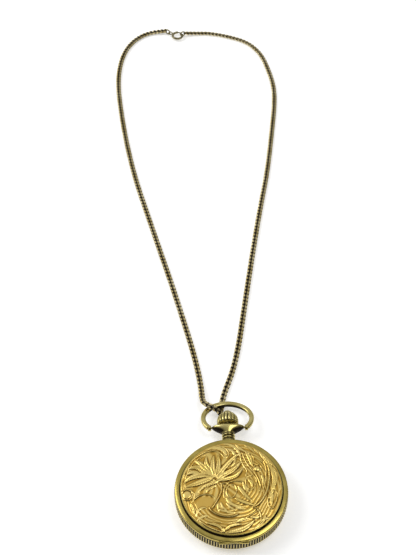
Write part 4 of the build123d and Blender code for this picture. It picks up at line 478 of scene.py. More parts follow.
# each stroke of the chasing: its kind, width, height and line, in millimetres on the lid
relief_strokes = (
    ("bead", 0.55, 0.3, ((-18.1, -0.7), (-18.3, 2.2), (-17.3, 5.4), (-15.7, 9.2), (-13.2, 12.1),
      (-10.1, 14.1), (-7.4, 15), (-5.1, 14.9), (-3.3, 13.7), (-2.5, 12.4))),
    ("bead", 0.35, 0.16, ((-16.9, 0.5), (-16.6, 4.6), (-14.8, 8.7), (-12.1, 11.6), (-9, 13.4))),
    ("band", 1.7, 0.16, ((-12.7, 14.6), (-10, 16.2), (-7, 16.5), (-4.3, 16.3), (-2.2, 15.1),
      (-1.4, 13.4))),
    ("bead", 0.32, 0.22, ((-13.1, 14.6), (-10.4, 16.6), (-7.3, 17.5), (-4.2, 17.4), (-1.8, 16.2),
      (-0.5, 14.2), (-0.7, 12.5), (-1.8, 12), (-2.6, 12.7))),
    ("leaf", 1.1, 0.26, ((-2.7, 18.2), (0.4, 17.4), (2.6, 15.6), (3.8, 13), (3.9, 10.2))),
    ("leaf", 1, 0.24, ((-1.2, 16), (1, 14.8), (2, 12.4), (1.5, 9.9), (-0.1, 7.8))),
    ("leaf", 1.9, 0.4, ((-6.3, 4), (-7.5, 6.6), (-8.9, 9.8), (-8.8, 12.8))),
    ("leaf", 1.9, 0.42, ((-6, 4.1), (-6.5, 7.4), (-6.4, 10.6), (-5.9, 13.1))),
    ("leaf", 1.8, 0.42, ((-5.6, 4.1), (-4.6, 7.3), (-4.2, 10.5), (-4.4, 13.1))),
    ("leaf", 1.9, 0.42, ((-5.3, 3.7), (-3.1, 6.7), (-0.8, 9.5), (2, 12.4), (4, 13.6))),
    ("leaf", 2, 0.44, ((-5, 3.1), (-1.7, 5.2), (1.4, 7.2), (4.2, 10.2))),
    ("leaf", 1.7, 0.42, ((-4.8, 2.5), (-1.4, 3.1), (2, 4.4), (4.6, 7.3))),
    ("leaf", 1.2, 0.34, ((-4.7, 4.2), (-2.4, 5.4), (-0.1, 6.6), (2.2, 8.6))),
    ("leaf", 2.4, 0.36, ((-6.6, 4), (-9.2, 5), (-12.2, 4.9), (-15.3, 3.9), (-17.4, 2.1))),
    ("leaf", 2.2, 0.38, ((-6.8, 4.5), (-9.6, 6.7), (-12.5, 8.4), (-15.7, 7.9))),
    ("leaf", 2.2, 0.34, ((-7, 3.5), (-10, 2.7), (-13.1, 1.6), (-16.8, 0.5))),
    ("leaf", 2, 0.36, ((-7, 4.9), (-9.5, 7.9), (-11.7, 10.3), (-13.2, 11.2))),
    ("leaf", 1.4, 0.3, ((-11.8, 6.1), (-14.1, 6.4), (-16.5, 5.4))),
    ("leaf", 0.6, 0.5, ((-8.2, 2.5), (-6.7, 2.2), (-4.8, 2.3))),
    ("leaf", 0.6, 0.5, ((-7.4, 3.5), (-6.3, 2.8), (-4.5, 1.7))),
    ("leaf", 0.6, 0.46, ((-6.3, 1.4), (-5.2, 2.2), (-3.9, 2.3))),
    ("bead", 0.5, 0.42, ((-3.9, 1.6), (-3.6, -0.2), (-4, -2.4), (-5.1, -4.8), (-6.3, -6.8),
      (-7.4, -8.4))),
    ("bead", 0.42, 0.36, ((-3.5, 1.2), (-1.1, 1.5), (1.2, 2.1), (3.4, 1.9), (4.7, 1.3))),
    ("bead", 0.34, 0.3, ((-1.1, 1.4), (-2.3, -0), (-3, -2.4), (-2.9, -4.5))),
    ("frond", 1.5, 0.34, ((-4.8, 1.9), (-7.5, 1.3), (-10.1, 0.3), (-12.3, -1.9))),
    ("frond", 1.1, 0.3, ((-5.4, 0.7), (-8.3, -0.8), (-9.4, -2.2))),
    ("bead", 0.34, 0.32, ((-0.4, 0.8), (-1.7, -0.8), (-1.8, -3.1), (-0.6, -4.5), (1.1, -3.6),
      (1.8, -1.2), (1.1, 0.5), (-0.4, 0.8))),
    ("leaf", 1.3, 0.32, ((2.4, 0.1), (3.8, -2), (5.3, -4.1), (7.1, -5.8))),
    ("leaf", 1.3, 0.34, ((1.2, -4.7), (3.2, -5.9), (5.4, -6.8), (8.1, -7.6))),
    ("leaf", 1.1, 0.3, ((4.3, 1.4), (5.1, -0.9), (6.7, -2.9))),
    ("leaf", 1.2, 0.3, ((-2.1, -4.5), (-0.7, -6.6), (1.4, -7.8), (4.4, -8.3))),
    ("bead", 0.32, 0.28, ((5.9, 3.7), (7.9, 4.4), (9.3, 2.7), (8.8, 0.3), (7.1, -1.5), (5.6, -0.5),
      (5.3, 1.8), (5.9, 3.7))),
    ("leaf", 1.2, 0.26, ((6.4, 2.6), (7.5, 1.3), (7.4, -0.3))),
    ("bead", 0.38, 0.34, ((4.5, 14.1), (5.5, 10.6), (7.1, 7.6), (8.8, 5.2), (9.9, 2.9),
      (10.6, 0.2), (10.1, -2.2))),
    ("bead", 0.3, 0.26, ((3.7, 12.4), (4.6, 8.9), (5.9, 6.4), (5.4, 4.3))),
    ("leaf", 1.7, 0.36, ((6.1, 13.8), (7.3, 11.8), (7.9, 8.4))),
    ("bead", 0.3, 0.28, ((6.3, 14), (8, 13.1), (8.7, 10.9), (8.1, 8))),
    ("dome", 1.15, 0.42, ((9.9, 7),)),
    ("bead", 0.3, 0.26, ((8.5, 6.3), (9, 8.4), (10.7, 8.7), (11.4, 7.3), (10.6, 5.6))),
    ("leaf", 1, 0.28, ((11.1, 4.5), (11.8, 2.9), (11.6, 0.4))),
    ("leaf", 1, 0.28, ((2.3, 17.6), (4.1, 15.6), (6.3, 14))),
    ("leaf", 0.9, 0.26, ((5, 17.9), (7.6, 15.9), (9.5, 13.5))),
    ("leaf", 0.9, 0.26, ((7.8, 12.7), (10, 11.5), (12.3, 9.5))),
    ("leaf", 0.9, 0.24, ((9.1, 15.6), (11.6, 13), (13.1, 9.9))),
    ("bead", 0.75, 0.4, ((13.6, 9.1), (14.2, 6.1), (14, 2.4), (13.1, -1.3), (11.7, -4.3),
      (10.2, -6.4), (8.2, -8.1))),
    ("bead", 0.35, 0.24, ((12.4, 10.4), (13.1, 7), (12.8, 3.6), (12.2, 0.4), (11, -2.5))),
    ("band", 1.6, 0.16, ((11.3, 13.8), (13.7, 10.3), (15.4, 6.5), (15.8, 2.3), (14.9, -1.8),
      (13.2, -5))),
    ("bead", 0.32, 0.22, ((10.3, 16.5), (13.9, 13.1), (16.6, 8.6), (18, 3.9))),
    ("frond", 1.4, 0.28, ((12.3, 12.5), (14.5, 10.3), (17.2, 6.9))),
    ("leaf", 0.9, 0.26, ((15.8, 7.7), (16.9, 4.4), (16.2, 0.2))),
    ("leaf", 0.9, 0.24, ((17.2, 6.4), (18.4, 2.2), (17.7, -1.9))),
    ("bead", 0.32, 0.26, ((14.4, -1.8), (13.2, -4.6), (13, -7.4), (14.3, -9), (15.9, -6.5),
      (16.6, -3.3), (15.9, -1.8), (14.4, -1.8))),
    ("leaf", 1.3, 0.2, ((15, -3), (14.5, -5), (14.2, -7.8))),
    ("bead", 0.42, 0.3, ((-16.3, -0.6), (-14.6, -1.5), (-14.4, -3.1), (-15.4, -4.6), (-17.1, -4.5),
      (-18.2, -3), (-17.9, -1.3), (-16.3, -0.6))),
    ("dome", 1.5, 0.2, ((-16.3, -2.6),)),
    ("bead", 0.34, 0.22, ((-15.2, -0.6), (-13.7, -2.3), (-13.8, -4.5), (-14.7, -5.7))),
    ("bead", 0.45, 0.3, ((-13.7, -4.7), (-12.1, -3.4), (-9.7, -2.8), (-7.6, -3.3), (-6.4, -4.4))),
    ("bead", 0.55, 0.46, ((-8.5, -7.9), (-7.8, -9.2), (-6, -10.6), (-3.9, -11.5), (-1.7, -11.8),
      (0.5, -11.6), (2, -10.9))),
    ("bead", 0.26, 0.16, ((-13.3, -6.4), (-12.2, -9.2), (-9.7, -11.9), (-6.1, -13.5),
      (-2.5, -14.1), (1.1, -13.7))),
    ("leaf", 0.8, 0.28, ((-13.2, -11.3), (-12.4, -9), (-10.4, -7.9), (-9.1, -8.7))),
    ("frond", 1.1, 0.28, ((-13.1, -12.9), (-10.8, -11.4), (-8.6, -11.1))),
    ("leaf", 0.7, 0.22, ((-6, -8.5), (-3.8, -9.3), (-0.9, -10.2), (1.5, -10.2))),
    ("leaf", 0.7, 0.24, ((-2.2, -6.5), (-0.8, -8.2), (1.3, -9.6))),
    ("leaf", 0.7, 0.24, ((-4.2, -6), (-3.4, -8.1), (-1.6, -9.9))),
    ("leaf", 0.7, 0.22, ((-5.1, -6.4), (-5.2, -8), (-4.9, -10))),
    ("leaf", 0.8, 0.24, ((1, -8.2), (2.9, -8.9), (5.1, -8.8))),
    ("leaf", 2, 0.42, ((-4.1, -17.7), (-7, -17), (-9.9, -15.4), (-12.1, -12.8))),
    ("leaf", 2, 0.42, ((-4.2, -18.8), (-7.4, -18.8), (-10.3, -17.7), (-13.5, -14.5))),
    ("leaf", 2, 0.42, ((-3, -17.8), (1, -17.3), (4.7, -15.9), (7.7, -13.4))),
    ("leaf", 2, 0.42, ((-3, -18.9), (0.9, -19.4), (5.3, -18.4), (9.4, -16))),
    ("leaf", 1.2, 0.38, ((-3.7, -17.2), (-5.1, -15.3), (-7.3, -14.4), (-9.8, -13.8))),
    ("leaf", 1.2, 0.38, ((-3.4, -17.2), (-1.7, -15.7), (0.7, -14.9), (3.3, -14.7))),
    ("leaf", 1.5, 0.46, ((-3.6, -19.7), (-3.6, -17.9), (-3.6, -15.8))),
    ("dome", 1, 0.46, ((-3.6, -18.8),)),
    ("bead", 0.36, 0.34, ((4.4, -12.5), (6.8, -11.1), (9.1, -9.7))),
    ("leaf", 1.2, 0.28, ((1.1, -14), (3.4, -12.9), (6.1, -12.6))),
    ("leaf", 1, 0.28, ((6.4, -12), (8.5, -12.4), (10, -11.7))),
    ("bead", 0.42, 0.34, ((7.3, -8.2), (9.3, -9.5), (10.1, -12.1), (9.6, -15.2))),
    ("leaf", 1.4, 0.34, ((7.6, -16.3), (10.2, -14.5), (11.9, -11.4))),
    ("leaf", 1.4, 0.4, ((10.5, -16), (12.8, -14.2), (15.4, -11.9), (16.9, -8.7))),
    ("leaf", 1, 0.36, ((10.7, -13.5), (12.5, -12.8), (14.7, -13.2))),
    ("dome", 0.9, 0.4, ((12.6, -14.2),)),
    ("dome", 0.7, 0.36, ((14.2, -13.2),)),
    ("bead", 0.34, 0.24, ((-17.3, -6.4), (-15.9, -9.3), (-13.4, -12.3))),
    ("leaf", 1, 0.26, ((-15.1, -6.1), (-14.2, -8.1), (-13.7, -10.5))),
)


def flowing(points, steps=7):
    """A smooth line through given points."""
    held = np.array([points[0], *points, points[-1]], float)
    line = []
    for before, start, end, after in zip(held, held[1:], held[2:], held[3:]):
        for t in np.arange(steps) / steps:
            line.append(0.5 * (2 * start + (end - before) * t
                               + (2 * before - 5 * start + 4 * end - after) * t * t
                               + (3 * start - before - 3 * end + after) * t ** 3))
    return np.array(line + [held[-1]])


def stroke_height(kind, width, height, off, along, run):
    """Height of one stroke over its ground, and how far each point lies inside its edge."""
    ends = np.clip(np.minimum(along, run - along) / (1.2 * width), 0, 1)
    if kind == "bead":
        half = width / 2 * (0.45 + 0.55 * np.sqrt(ends))
    elif kind == "band":
        half = width / 2 * (0.35 + 0.65 * np.sqrt(ends))
    elif kind == "dome":
        half = np.full_like(off, width)
    else:
        half = width / 2 * np.sin(np.pi * np.clip(along / run, 0.02, 0.98) ** 0.8) ** 0.6
        if kind == "frond":
            half = half * (0.68 + 0.32 * np.abs(np.sin(np.pi * along / (0.55 * width))))
    share = np.clip(np.abs(off) / half, 0, 1)
    swell = np.sqrt(1 - share ** 2)
    if kind == "band":
        swell = np.clip(2.4 * (1 - share), 0, 1) * (0.86 + 0.14 * np.cos(2 * np.pi * along / 0.42))
    if kind in ("leaf", "frond"):
        vein = np.exp(-(off / (0.09 + 0.04 * width)) ** 2)
        barbs = 0.5 + 0.5 * np.cos(2 * np.pi * (along / (0.34 * width + 0.12) - 1.1 * share))
        swell = np.sqrt(swell) * (0.72 + 0.28 * share) - 0.34 * vein - 0.2 * barbs * share
    return height * swell, half - np.abs(off)


# the panel's points lie on a square net drawn out to a disc, so that none crowd together;
# a stroke covers what it crosses and sinks the ground along its edge
net = 262
across_net, along_net = np.meshgrid(np.linspace(-1, 1, net), np.linspace(-1, 1, net))
panel_x = relief_radius * across_net * np.sqrt(1 - along_net ** 2 / 2)
panel_y = relief_radius * along_net * np.sqrt(1 - across_net ** 2 / 2)
relief = np.zeros_like(panel_x)
for kind, width, height, points in relief_strokes:
    line = flowing(points) if len(points) > 1 else np.array([points[0], points[0]], float)
    margin = width + 0.5
    near = ((panel_x > line[:, 0].min() - margin) & (panel_x < line[:, 0].max() + margin)
            & (panel_y > line[:, 1].min() - margin) & (panel_y < line[:, 1].max() + margin))
    spot = np.stack([panel_x[near], panel_y[near]], 1)[:, None, :]
    legs = line[1:] - line[:-1]
    lengths = np.maximum(np.hypot(legs[:, 0], legs[:, 1]), 1e-9)
    share = np.clip(((spot - line[:-1]) * legs).sum(2) / lengths ** 2, 0, 1)
    gap = spot - line[:-1] - share[:, :, None] * legs
    nearest = (gap ** 2).sum(2).argmin(1)
    rows = np.arange(len(nearest))
    off = np.hypot(*gap[rows, nearest].T)
    along = (np.concatenate([[0], lengths.cumsum()])[nearest]
             + share[rows, nearest] * lengths[nearest])
    raised, inside = stroke_height(kind, width, height, off, along, lengths.sum())
    below = relief[near]
    cut = below - 0.1 * np.clip(1 + inside / 0.24, 0, 1)
    relief[near] = np.where(inside > 0, np.maximum(0.3 * below, 0) + raised, cut)
radius = np.hypot(panel_x, panel_y)
sway = (0.9 * np.sin(0.55 * panel_x + 0.8 * np.sin(0.4 * panel_y))
        + 0.7 * np.sin(0.7 * panel_y + 1.1 * np.sin(0.5 * panel_x + 1.0)))
flower_x, flower_y = -6, 3
from_flower = np.hypot(panel_x - flower_x, panel_y - flower_y)
round_flower = np.arctan2(panel_y - flower_y, panel_x - flower_x)
petal_lines = np.cos(17 * round_flower + 1.6 * sway)
rim_lines = np.cos(2 * np.pi * (radius / 1.15 + 0.3 * sway) + 2 * round_flower)
leafy = np.clip((13.5 - from_flower) / 3, 0, 1)
chased = leafy * petal_lines + (1 - leafy) * rim_lines
chased = np.sign(chased) * np.abs(chased) ** 0.6
shield_x, shield_y, shield_radius = -9.5, -6.2, 2.8
from_shield = np.hypot(panel_x - shield_x, (panel_y - shield_y) * 1.25)
open_ground = (np.clip((0.1 - relief) / 0.1, 0, 1)
               * np.clip((from_shield - shield_radius) / 0.8, 0, 1))
chasing_depth, deepest = 0.055, 0.12
relief = relief + chasing_depth * chased * open_ground
relief = np.maximum(relief, -deepest) * np.clip((relief_radius - 0.15 - radius) / 0.5, 0, 1)


def softened(field, reach):
    """Each point of a field with the mean of itself and its four neighbours at a reach."""
    return (field + np.roll(field, reach, 0) + np.roll(field, -reach, 0)
            + np.roll(field, reach, 1) + np.roll(field, -reach, 1)) / 5


relief = softened(relief, 1)
panel_z = np.minimum(panel_edge + dome_rise * (1 - (radius / relief_radius) ** 2) + relief,
                     highest)
# how far each point lies below its smoothed neighbours, which sets the painted shade in the chasing's
# hollows
soft = relief
for again in range(5):
    soft = softened(soft, 2)
hollow_shades = list(np.clip((soft - relief) / 0.11, 0, 1).ravel())
grounds = list(np.clip((0.06 - relief) / 0.08, 0, 1).ravel())

corners = [(x * mm, y * mm, z * mm)
           for x, y, z in zip(panel_x.ravel(), panel_y.ravel(), panel_z.ravel())]
faces = [(row * net + column, row * net + column + 1, (row + 1) * net + column + 1,
          (row + 1) * net + column) for row in range(net - 1) for column in range(net - 1)]
rim = (list(range(net)) + [row * net + net - 1 for row in range(1, net)]
       + [(net - 1) * net + column for column in range(net - 2, -1, -1)]
       + [row * net for row in range(net - 2, 0, -1)])
last_ring = rim
underside_centre = 10.34
for ring_radius, ring_z in ((relief_radius, 9.6), (13.5, 9.98), (8.5, 10.2), (4.0, 10.3)):
    first = len(corners)
    for index in rim:
        x, y, _ = corners[index]
        reach = math.hypot(x, y)
        corners.append((x / reach * ring_radius * mm, y / reach * ring_radius * mm, ring_z * mm))
    ring = list(range(first, first + len(rim)))
    faces += [(last_ring[i], ring[i], ring[(i + 1) % len(rim)], last_ring[(i + 1) % len(rim)])
              for i in range(len(rim))]
    last_ring = ring
corners.append((0, 0, underside_centre * mm))
faces += [(last_ring[i], len(corners) - 1, last_ring[(i + 1) % len(rim)])
          for i in range(len(rim))]
lid_mesh = bpy.data.meshes.new("lid_panel")
lid_mesh.from_pydata(corners, [], faces)
for name, shares in (("hollow", hollow_shades), ("ground", grounds)):
    shares += [0.0] * (len(corners) - len(shares))
    lid_mesh.attributes.new(name, "FLOAT", "POINT").data.foreach_set("value", shares)
lid_mesh.shade_smooth()
lid_panel = in_scene("lid_panel", lid_mesh)
lid_mesh.materials.append(case_gold.material)


def turned(name, section, steps, finish, axis="z", centre=(0, 0, 0), shape=None):
    """A closed section of (radius, place along the axis) points turned once round an axis."""
    order = {"x": (2, 0, 1), "y": (0, 2, 1), "z": (0, 1, 2)}[axis]
    rings = []
    for angle in turns(steps):
        ring = []
        for wide, *high, place in section:
            tall = high[0] if high else wide
            if shape:
                wide, tall = shape(wide, tall, place, angle)
            spot = (wide * math.cos(angle), tall * math.sin(angle), place)
            ring.append(tuple((spot[order[i]] + centre[i]) * mm for i in range(3)))
        rings.append(ring)
    return skinned(name, rings, finish, closed_length=True)


def joined(first, *others):
    """Several objects as one piece."""
    with bpy.context.temp_override(active_object=first, object=first,
                                   selected_objects=[first, *others],
                                   selected_editable_objects=[first, *others]):
        bpy.ops.object.join()
    return first


def cut_by(piece, *cutters):
    """Takes the cutters' shapes out of a piece."""
    for cutter in cutters:
        cutting = piece.modifiers.new("cut", "BOOLEAN")
        cutting.operation = "DIFFERENCE"
        cutting.solver = "EXACT"
        cutting.object = cutter
    mesh = evaluated_mesh(piece, piece.data.name + "_cut")
    piece.modifiers.clear()
    piece.data = mesh
    for cutter in cutters:
        bpy.data.objects.remove(cutter)


def block(name, low, high, turn=0.0):
    """A plain block between two corners, turned about the z axis, that cuts a slot."""
    spots = [(x, y, z) for x in (low[0], high[0]) for y in (low[1], high[1])
             for z in (low[2], high[2])]
    spots = [((x * math.cos(turn) - y * math.sin(turn)) * mm,
              (x * math.sin(turn) + y * math.cos(turn)) * mm, z * mm) for x, y, z in spots]
    mesh = bpy.data.meshes.new(name)
    mesh.from_pydata(spots, [], [(0, 1, 3, 2), (4, 6, 7, 5), (0, 4, 5, 1), (2, 3, 7, 6),
                                 (0, 2, 6, 4), (1, 5, 7, 3)])
    return in_scene(name, mesh)


lid_rim = turned("lid_rim", (
    (recess_radius, lid_bottom), (lid_radius - 0.06, lid_bottom), (lid_radius, lid_bottom + 0.06),
    (lid_radius, 8.48), (lid_radius - 0.08, 8.66), (lid_radius - 0.3, margin_top),
    (panel_radius + 0.1, margin_top), (panel_radius, margin_top + 0.08),
    (panel_radius, step_top - 0.1), (panel_radius - 0.05, step_top),
    (relief_radius + 0.14, panel_edge - 0.02), (relief_radius, panel_edge + 0.02),
    (recess_radius, panel_edge)), 256, margin_gold)
cut_by(lid_rim, block("knuckle_room", (-1.8, -22, 7), (1.8, -19.44, 8.36)),
       block("catch_room", (18.25, -1.0, 7), (19.3, 1.0, 8.28), math.radians(79)))
knuckle_bore, knuckle_radius, knuckle_length = 0.33, 0.7, 3.65
hinge_line = (0, -20.2, 7.6)
knuckles = []
for start in (-5.45, 1.8):
    end = start + knuckle_length
    knuckles.append(turned("lid_knuckle", (
        (knuckle_bore, start), (0.6, start), (knuckle_radius, start + 0.1),
        (knuckle_radius, end - 0.1), (0.6, end), (knuckle_bore, end)),
        32, margin_gold, "x", hinge_line))
lid = joined(lid_panel, lid_rim, *knuckles)
lid.name = "lid_chased"
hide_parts("front_lid")
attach(lid, "lid")

# Back cover: spun from sheet with a flat foot to lie on and a bulged flank, polished and
# worn to a fine haze of scratches where it rubs on cloth.
back_cover = turned("back_spun", (
    (0, 0), (13.6, 0), (14.0, 0.02), (14.8, 0.16), (16.2, 0.55), (17.8, 1.15), (19.2, 1.8),
    (20.2, 2.35), (20.65, 2.68), (20.8, 2.95), (20.8, 3.33), (20.74, 3.37), (17.93, 3.37),
    (17.93, 2.77), (13.97, 0.6), (0, 0.6)), 200, margin_gold)
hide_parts("back_cover")
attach(back_cover, "case")

# Pendant: turned and filed in one with its shoulders, which the bow is pinned to; the
# neck carries two beads, and a recess holds the sleeve that the stem runs in.
pendant_gold = Finish("pendant_gold", Metallic=1.0, Specular_IOR_Level=0.1)
pendant_wear = pendant_gold.noise(260.0, 3.0)
pendant_painted_shade = pendant_gold.attribute("tarnish")
worn = pendant_gold.mix(pendant_gold.ramp(pendant_wear, 0.3, 0.7), (0.46, 0.38, 0.12),
                        (0.7, 0.6, 0.26))
# painted shade: where the shade attribute marks it, the pendant, bow and crown are coloured near black
pendant_gold.colour(pendant_painted_shade, worn, (0.016, 0.009, 0.003))
pendant_gold.feed("Roughness", 0.12 + 0.2 * pendant_wear + 0.3 * pendant_painted_shade)
pendant_gold.feed("Metallic", 1 - 0.8 * pendant_painted_shade)
pendant_gold.bump(pendant_gold.noise(1400.0, 2.0), 0.15, 0.00003)


def shaded(piece, rule):
    """Paints shade and dark reflection onto a piece as an attribute, from each point's place and facing."""
    shares = [rule(vertex.co / mm, vertex.normal) for vertex in piece.data.vertices]
    piece.data.attributes.new("tarnish", "FLOAT", "POINT").data.foreach_set("value", shares)


def eased(value, low, high):
    """0 below low, 1 above high and smooth between."""
    share = min(max((value - low) / (high - low), 0), 1)
    return share * share * (3 - 2 * share)


stem_level = 5.5
neck_section = [(1.8, 18.85), (1.8, 20.74), (2.65, 20.74), (2.65, 21.3), (2.5, 21.5),
                (2.25, 21.75), (2.15, 22.05)]
for bead in (22.67, 23.9):
    neck_section += [(2.15 + 0.4 * math.sin(math.pi * i / 8) ** 0.7, bead - 0.4 + 0.1 * i)
                     for i in range(9)]
neck_section += [(2.15, 24.7), (2.25, 2.2, 24.95), (2.75, 2.3, 25.3), (3.6, 2.42, 25.75),
                 (4.7, 2.58, 26.3), (5.6, 2.72, 26.85), (6.1, 2.79, 27.3), (6.3, 2.8, 27.6),
                 (6.2, 2.74, 27.9), (5.75, 2.5, 28.15), (5.2, 2.25, 28.3), (4.4, 1.95, 28.25),
                 (2.9, 1.75, 28.1), (1.45, 28.06), (1.32, 28.0), (1.32, 25.7), (0.72, 25.7),
                 (0.72, 18.85)]
pendant = turned("pendant_turned", neck_section, 72, pendant_gold, "y", (0, 0, stem_level))
# painted shade and reflection: the lower flanks facing the front, and the neck between its beads, are
# coloured dark
shaded(pendant, lambda place, facing: max(
    eased(-facing.y, 0.3, 0.6) * eased(abs(place.x), 0.9, 1.8) * eased(place.y, 24.6, 25.2),
    (1 - eased(math.hypot(place.x, place.z - stem_level), 2.17, 2.4))
    * eased(place.y, 21.8, 22.1) * (1 - eased(place.y, 24.6, 25.0))))
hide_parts("pendant")
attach(pendant, "case")

# Bow: an oval ring of drawn wire, heavier across the top, whose ends are drilled as eyes
# for the two pins; it hangs a little dropped.
drop = math.radians(12)
pivot = Vector((0, 27.6, stem_level))
bow_up = Vector((0, math.cos(drop), -math.sin(drop)))
bow_face = Vector((0, math.sin(drop), math.cos(drop)))
oval_centre, oval_half_width, oval_half_height = 4.9, 9.4, 7.5
bar_half_width, bar_swell, bar_half_depth = 0.95, 0.1, 0.84
first_angle, whole_angle, bow_steps = -36.5, 253, 96
facing_wide, facing_high = 7.0, 9.45


def fuller(share):
    """A sine or cosine drawn out, so that a round section gets flatter sides."""
    return math.copysign(abs(share) ** 0.6, share)


bow_rings = []
for station in range(bow_steps + 1):
    turn = math.radians(first_angle + whole_angle * station / bow_steps)
    middle = (pivot + Vector((oval_half_width * math.cos(turn), 0, 0))
              + bow_up * (oval_centre + oval_half_height * math.sin(turn)))
    outward = (Vector((facing_wide * math.cos(turn), 0, 0))
               + bow_up * (facing_high * math.sin(turn))).normalized()
    bar_half = bar_half_width + bar_swell * max(math.sin(turn), 0) ** 1.5
    bow_rings.append([(middle + outward * (bar_half * fuller(math.cos(lean)))
                       + bow_face * (bar_half_depth * fuller(math.sin(lean)))) * mm
                      for lean in turns(20)])
bow_wire = skinned("bow_wire", bow_rings, pendant_gold)
eye_bore, eye_radius, eye_thick, eye_chamfer = 0.45, 1.14, 1.2, 0.14
eyes = [turned("bow_eye", (
    (eye_bore, start), (eye_radius - eye_chamfer, start), (eye_radius, start + eye_chamfer),
    (eye_radius, start + eye_thick - eye_chamfer), (eye_radius - eye_chamfer, start + eye_thick),
    (eye_bore, start + eye_thick)), 36, pendant_gold, "x", tuple(pivot)) for start in (-7.74, 6.54)]
bow = joined(bow_wire, *eyes)
bow.name = "bow_drawn"
# painted shade and reflection: the inside of the top bar facing the front, and every face turned down, are
# coloured dark
shaded(bow, lambda place, facing: eased(-facing.y, 0.45, 0.7) * eased(place.y, 34.0, 36.0)
       + 0.8 * eased(-facing.z, 0.2, 0.7))
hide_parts("bow")
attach(bow, "bow")

# Crown: turned onion-shaped with eighteen flutes for the fingers and a plain button on
# top; it is hollowed below to sit over the sleeve.
flutes, crown_foot, crown_tall, crown_wide, crown_cap = 18, 28.9, 5.1, 4.15, 1.65
crown_curve = ((0.0, 0.84), (0.03, 0.93), (0.07, 0.98), (0.12, 1.0), (0.3, 1.0), (0.45, 0.99),
               (0.56, 0.95), (0.66, 0.88), (0.75, 0.8), (0.83, 0.72), (0.9, 0.62), (0.96, 0.52),
               (1.0, 0.44))


def fluted(wide, tall, place, angle):
    """The crown's radius, drawn in between its flutes."""
    height = (place - crown_foot) / crown_tall
    if wide < crown_cap + 0.05 or not 0 <= height <= 1:
        return wide, tall
    valley = (1 - abs(math.cos(flutes * angle / 2))) ** 1.6
    depth = 0.12 * min(1, 12 * height + 0.3) * min(1, 5 * (1.02 - height))
    return wide * (1 - depth * valley), tall * (1 - depth * valley)


crown = turned("crown_fluted", [(crown_wide * wide, crown_foot + crown_tall * high)
                                for high, wide in crown_curve] + [
    (crown_cap, 34.0), (crown_cap, 34.28), (1.5, 34.48), (1.1, 34.63), (0.5, 34.69), (0, 34.7),
    (0, 33.07), (0.62, 33.07), (0.62, 30.65), (1.5, 30.65), (1.5, crown_foot)],
    216, pendant_gold, "y", (0, 0, stem_level), fluted)
# painted shade: the valleys between the flutes are coloured dark
shaded(crown, lambda place, facing: (
    eased(1 - abs(math.cos(flutes / 2 * math.atan2(place.z - stem_level, place.x))), 0.35, 0.8)
    * eased(math.hypot(place.x, place.z - stem_level), 1.7, 1.9) * eased(33.9 - place.y, 0, 0.3)))
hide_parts("crown")
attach(crown, "crown")

# Dial: white enamel on copper, printed in black with Roman hours, a minute track round
# the edge and a seconds track in its sink, where the six would stand.
dial_white = Finish("dial_white", Roughness=0.22, Coat_Weight=0.6)
dial_cloud = dial_white.noise(90.0, 3.0)
dial_white.colour(dial_cloud, (0.86, 0.85, 0.8), (0.92, 0.91, 0.87))
dial_white.bump(dial_cloud, 0.05, 0.0001)
dial_print = Finish("dial_print")
print_grain = dial_print.noise(3000.0, 2.0)
dial_print.colour(print_grain, (0.01, 0.01, 0.012), (0.03, 0.03, 0.034))
dial_print.feed("Roughness", 0.4 + 0.2 * print_grain)

track_tree, entry = new_tree("marks_on_ring", {
    "Empty": "Geometry", "Ring Radius": "Float", "Marks": "Int", "Mark Size": "Vector",
    "Ink": "Material"}, "Track")
ring_line = tree_node(track_tree, "GeometryNodeCurvePrimitiveCircle", {},
                      {"Radius": entry.outputs["Ring Radius"],
                       "Resolution": entry.outputs["Marks"]})
spots = tree_node(track_tree, "GeometryNodeCurveToPoints", {"mode": "EVALUATED"},
                  {0: ring_line.outputs[0]})
mark = tree_node(track_tree, "GeometryNodeMeshCube", {}, {"Size": entry.outputs["Mark Size"]})
end_tree(track_tree, spots.outputs["Points"], mark.outputs[0], spots.outputs["Rotation"],
         entry.outputs["Ink"])

dial_top, print_thick, seconds_drop = 7.3, 0.012, 0.1
seconds_centre = (0.0, -8.2002)
sink_level = dial_top - seconds_drop
printed = []
for name, centre, level, ring_radius, marks, mark_long, mark_wide in (
        ("minute_track", (0, 0), dial_top, 15.4, 60, 0.7, 0.12),
        ("five_minute_track", (0, 0), dial_top, 15.4, 12, 0.95, 0.3),
        ("seconds_track", seconds_centre, sink_level, 3.2, 60, 0.3, 0.07),
        ("ten_seconds_track", seconds_centre, sink_level, 3.12, 6, 0.5, 0.12)):
    bare = in_scene(name, bpy.data.meshes.new(name))
    run_tree(bare, track_tree, {
        "Ring Radius": ring_radius * mm, "Marks": marks, "Ink": dial_print.material,
        "Mark Size": tuple(side * mm for side in (mark_long, mark_wide, print_thick))})
    mesh = evaluated_mesh(bare, name + "_printed")
    bare.modifiers.clear()
    bare.data = mesh
    for vertex in mesh.vertices:
        vertex.co += Vector((centre[0], centre[1], level + print_thick / 2)) * mm
    printed.append(bare)
figure_size, figure_radius = 3.3, 12.9
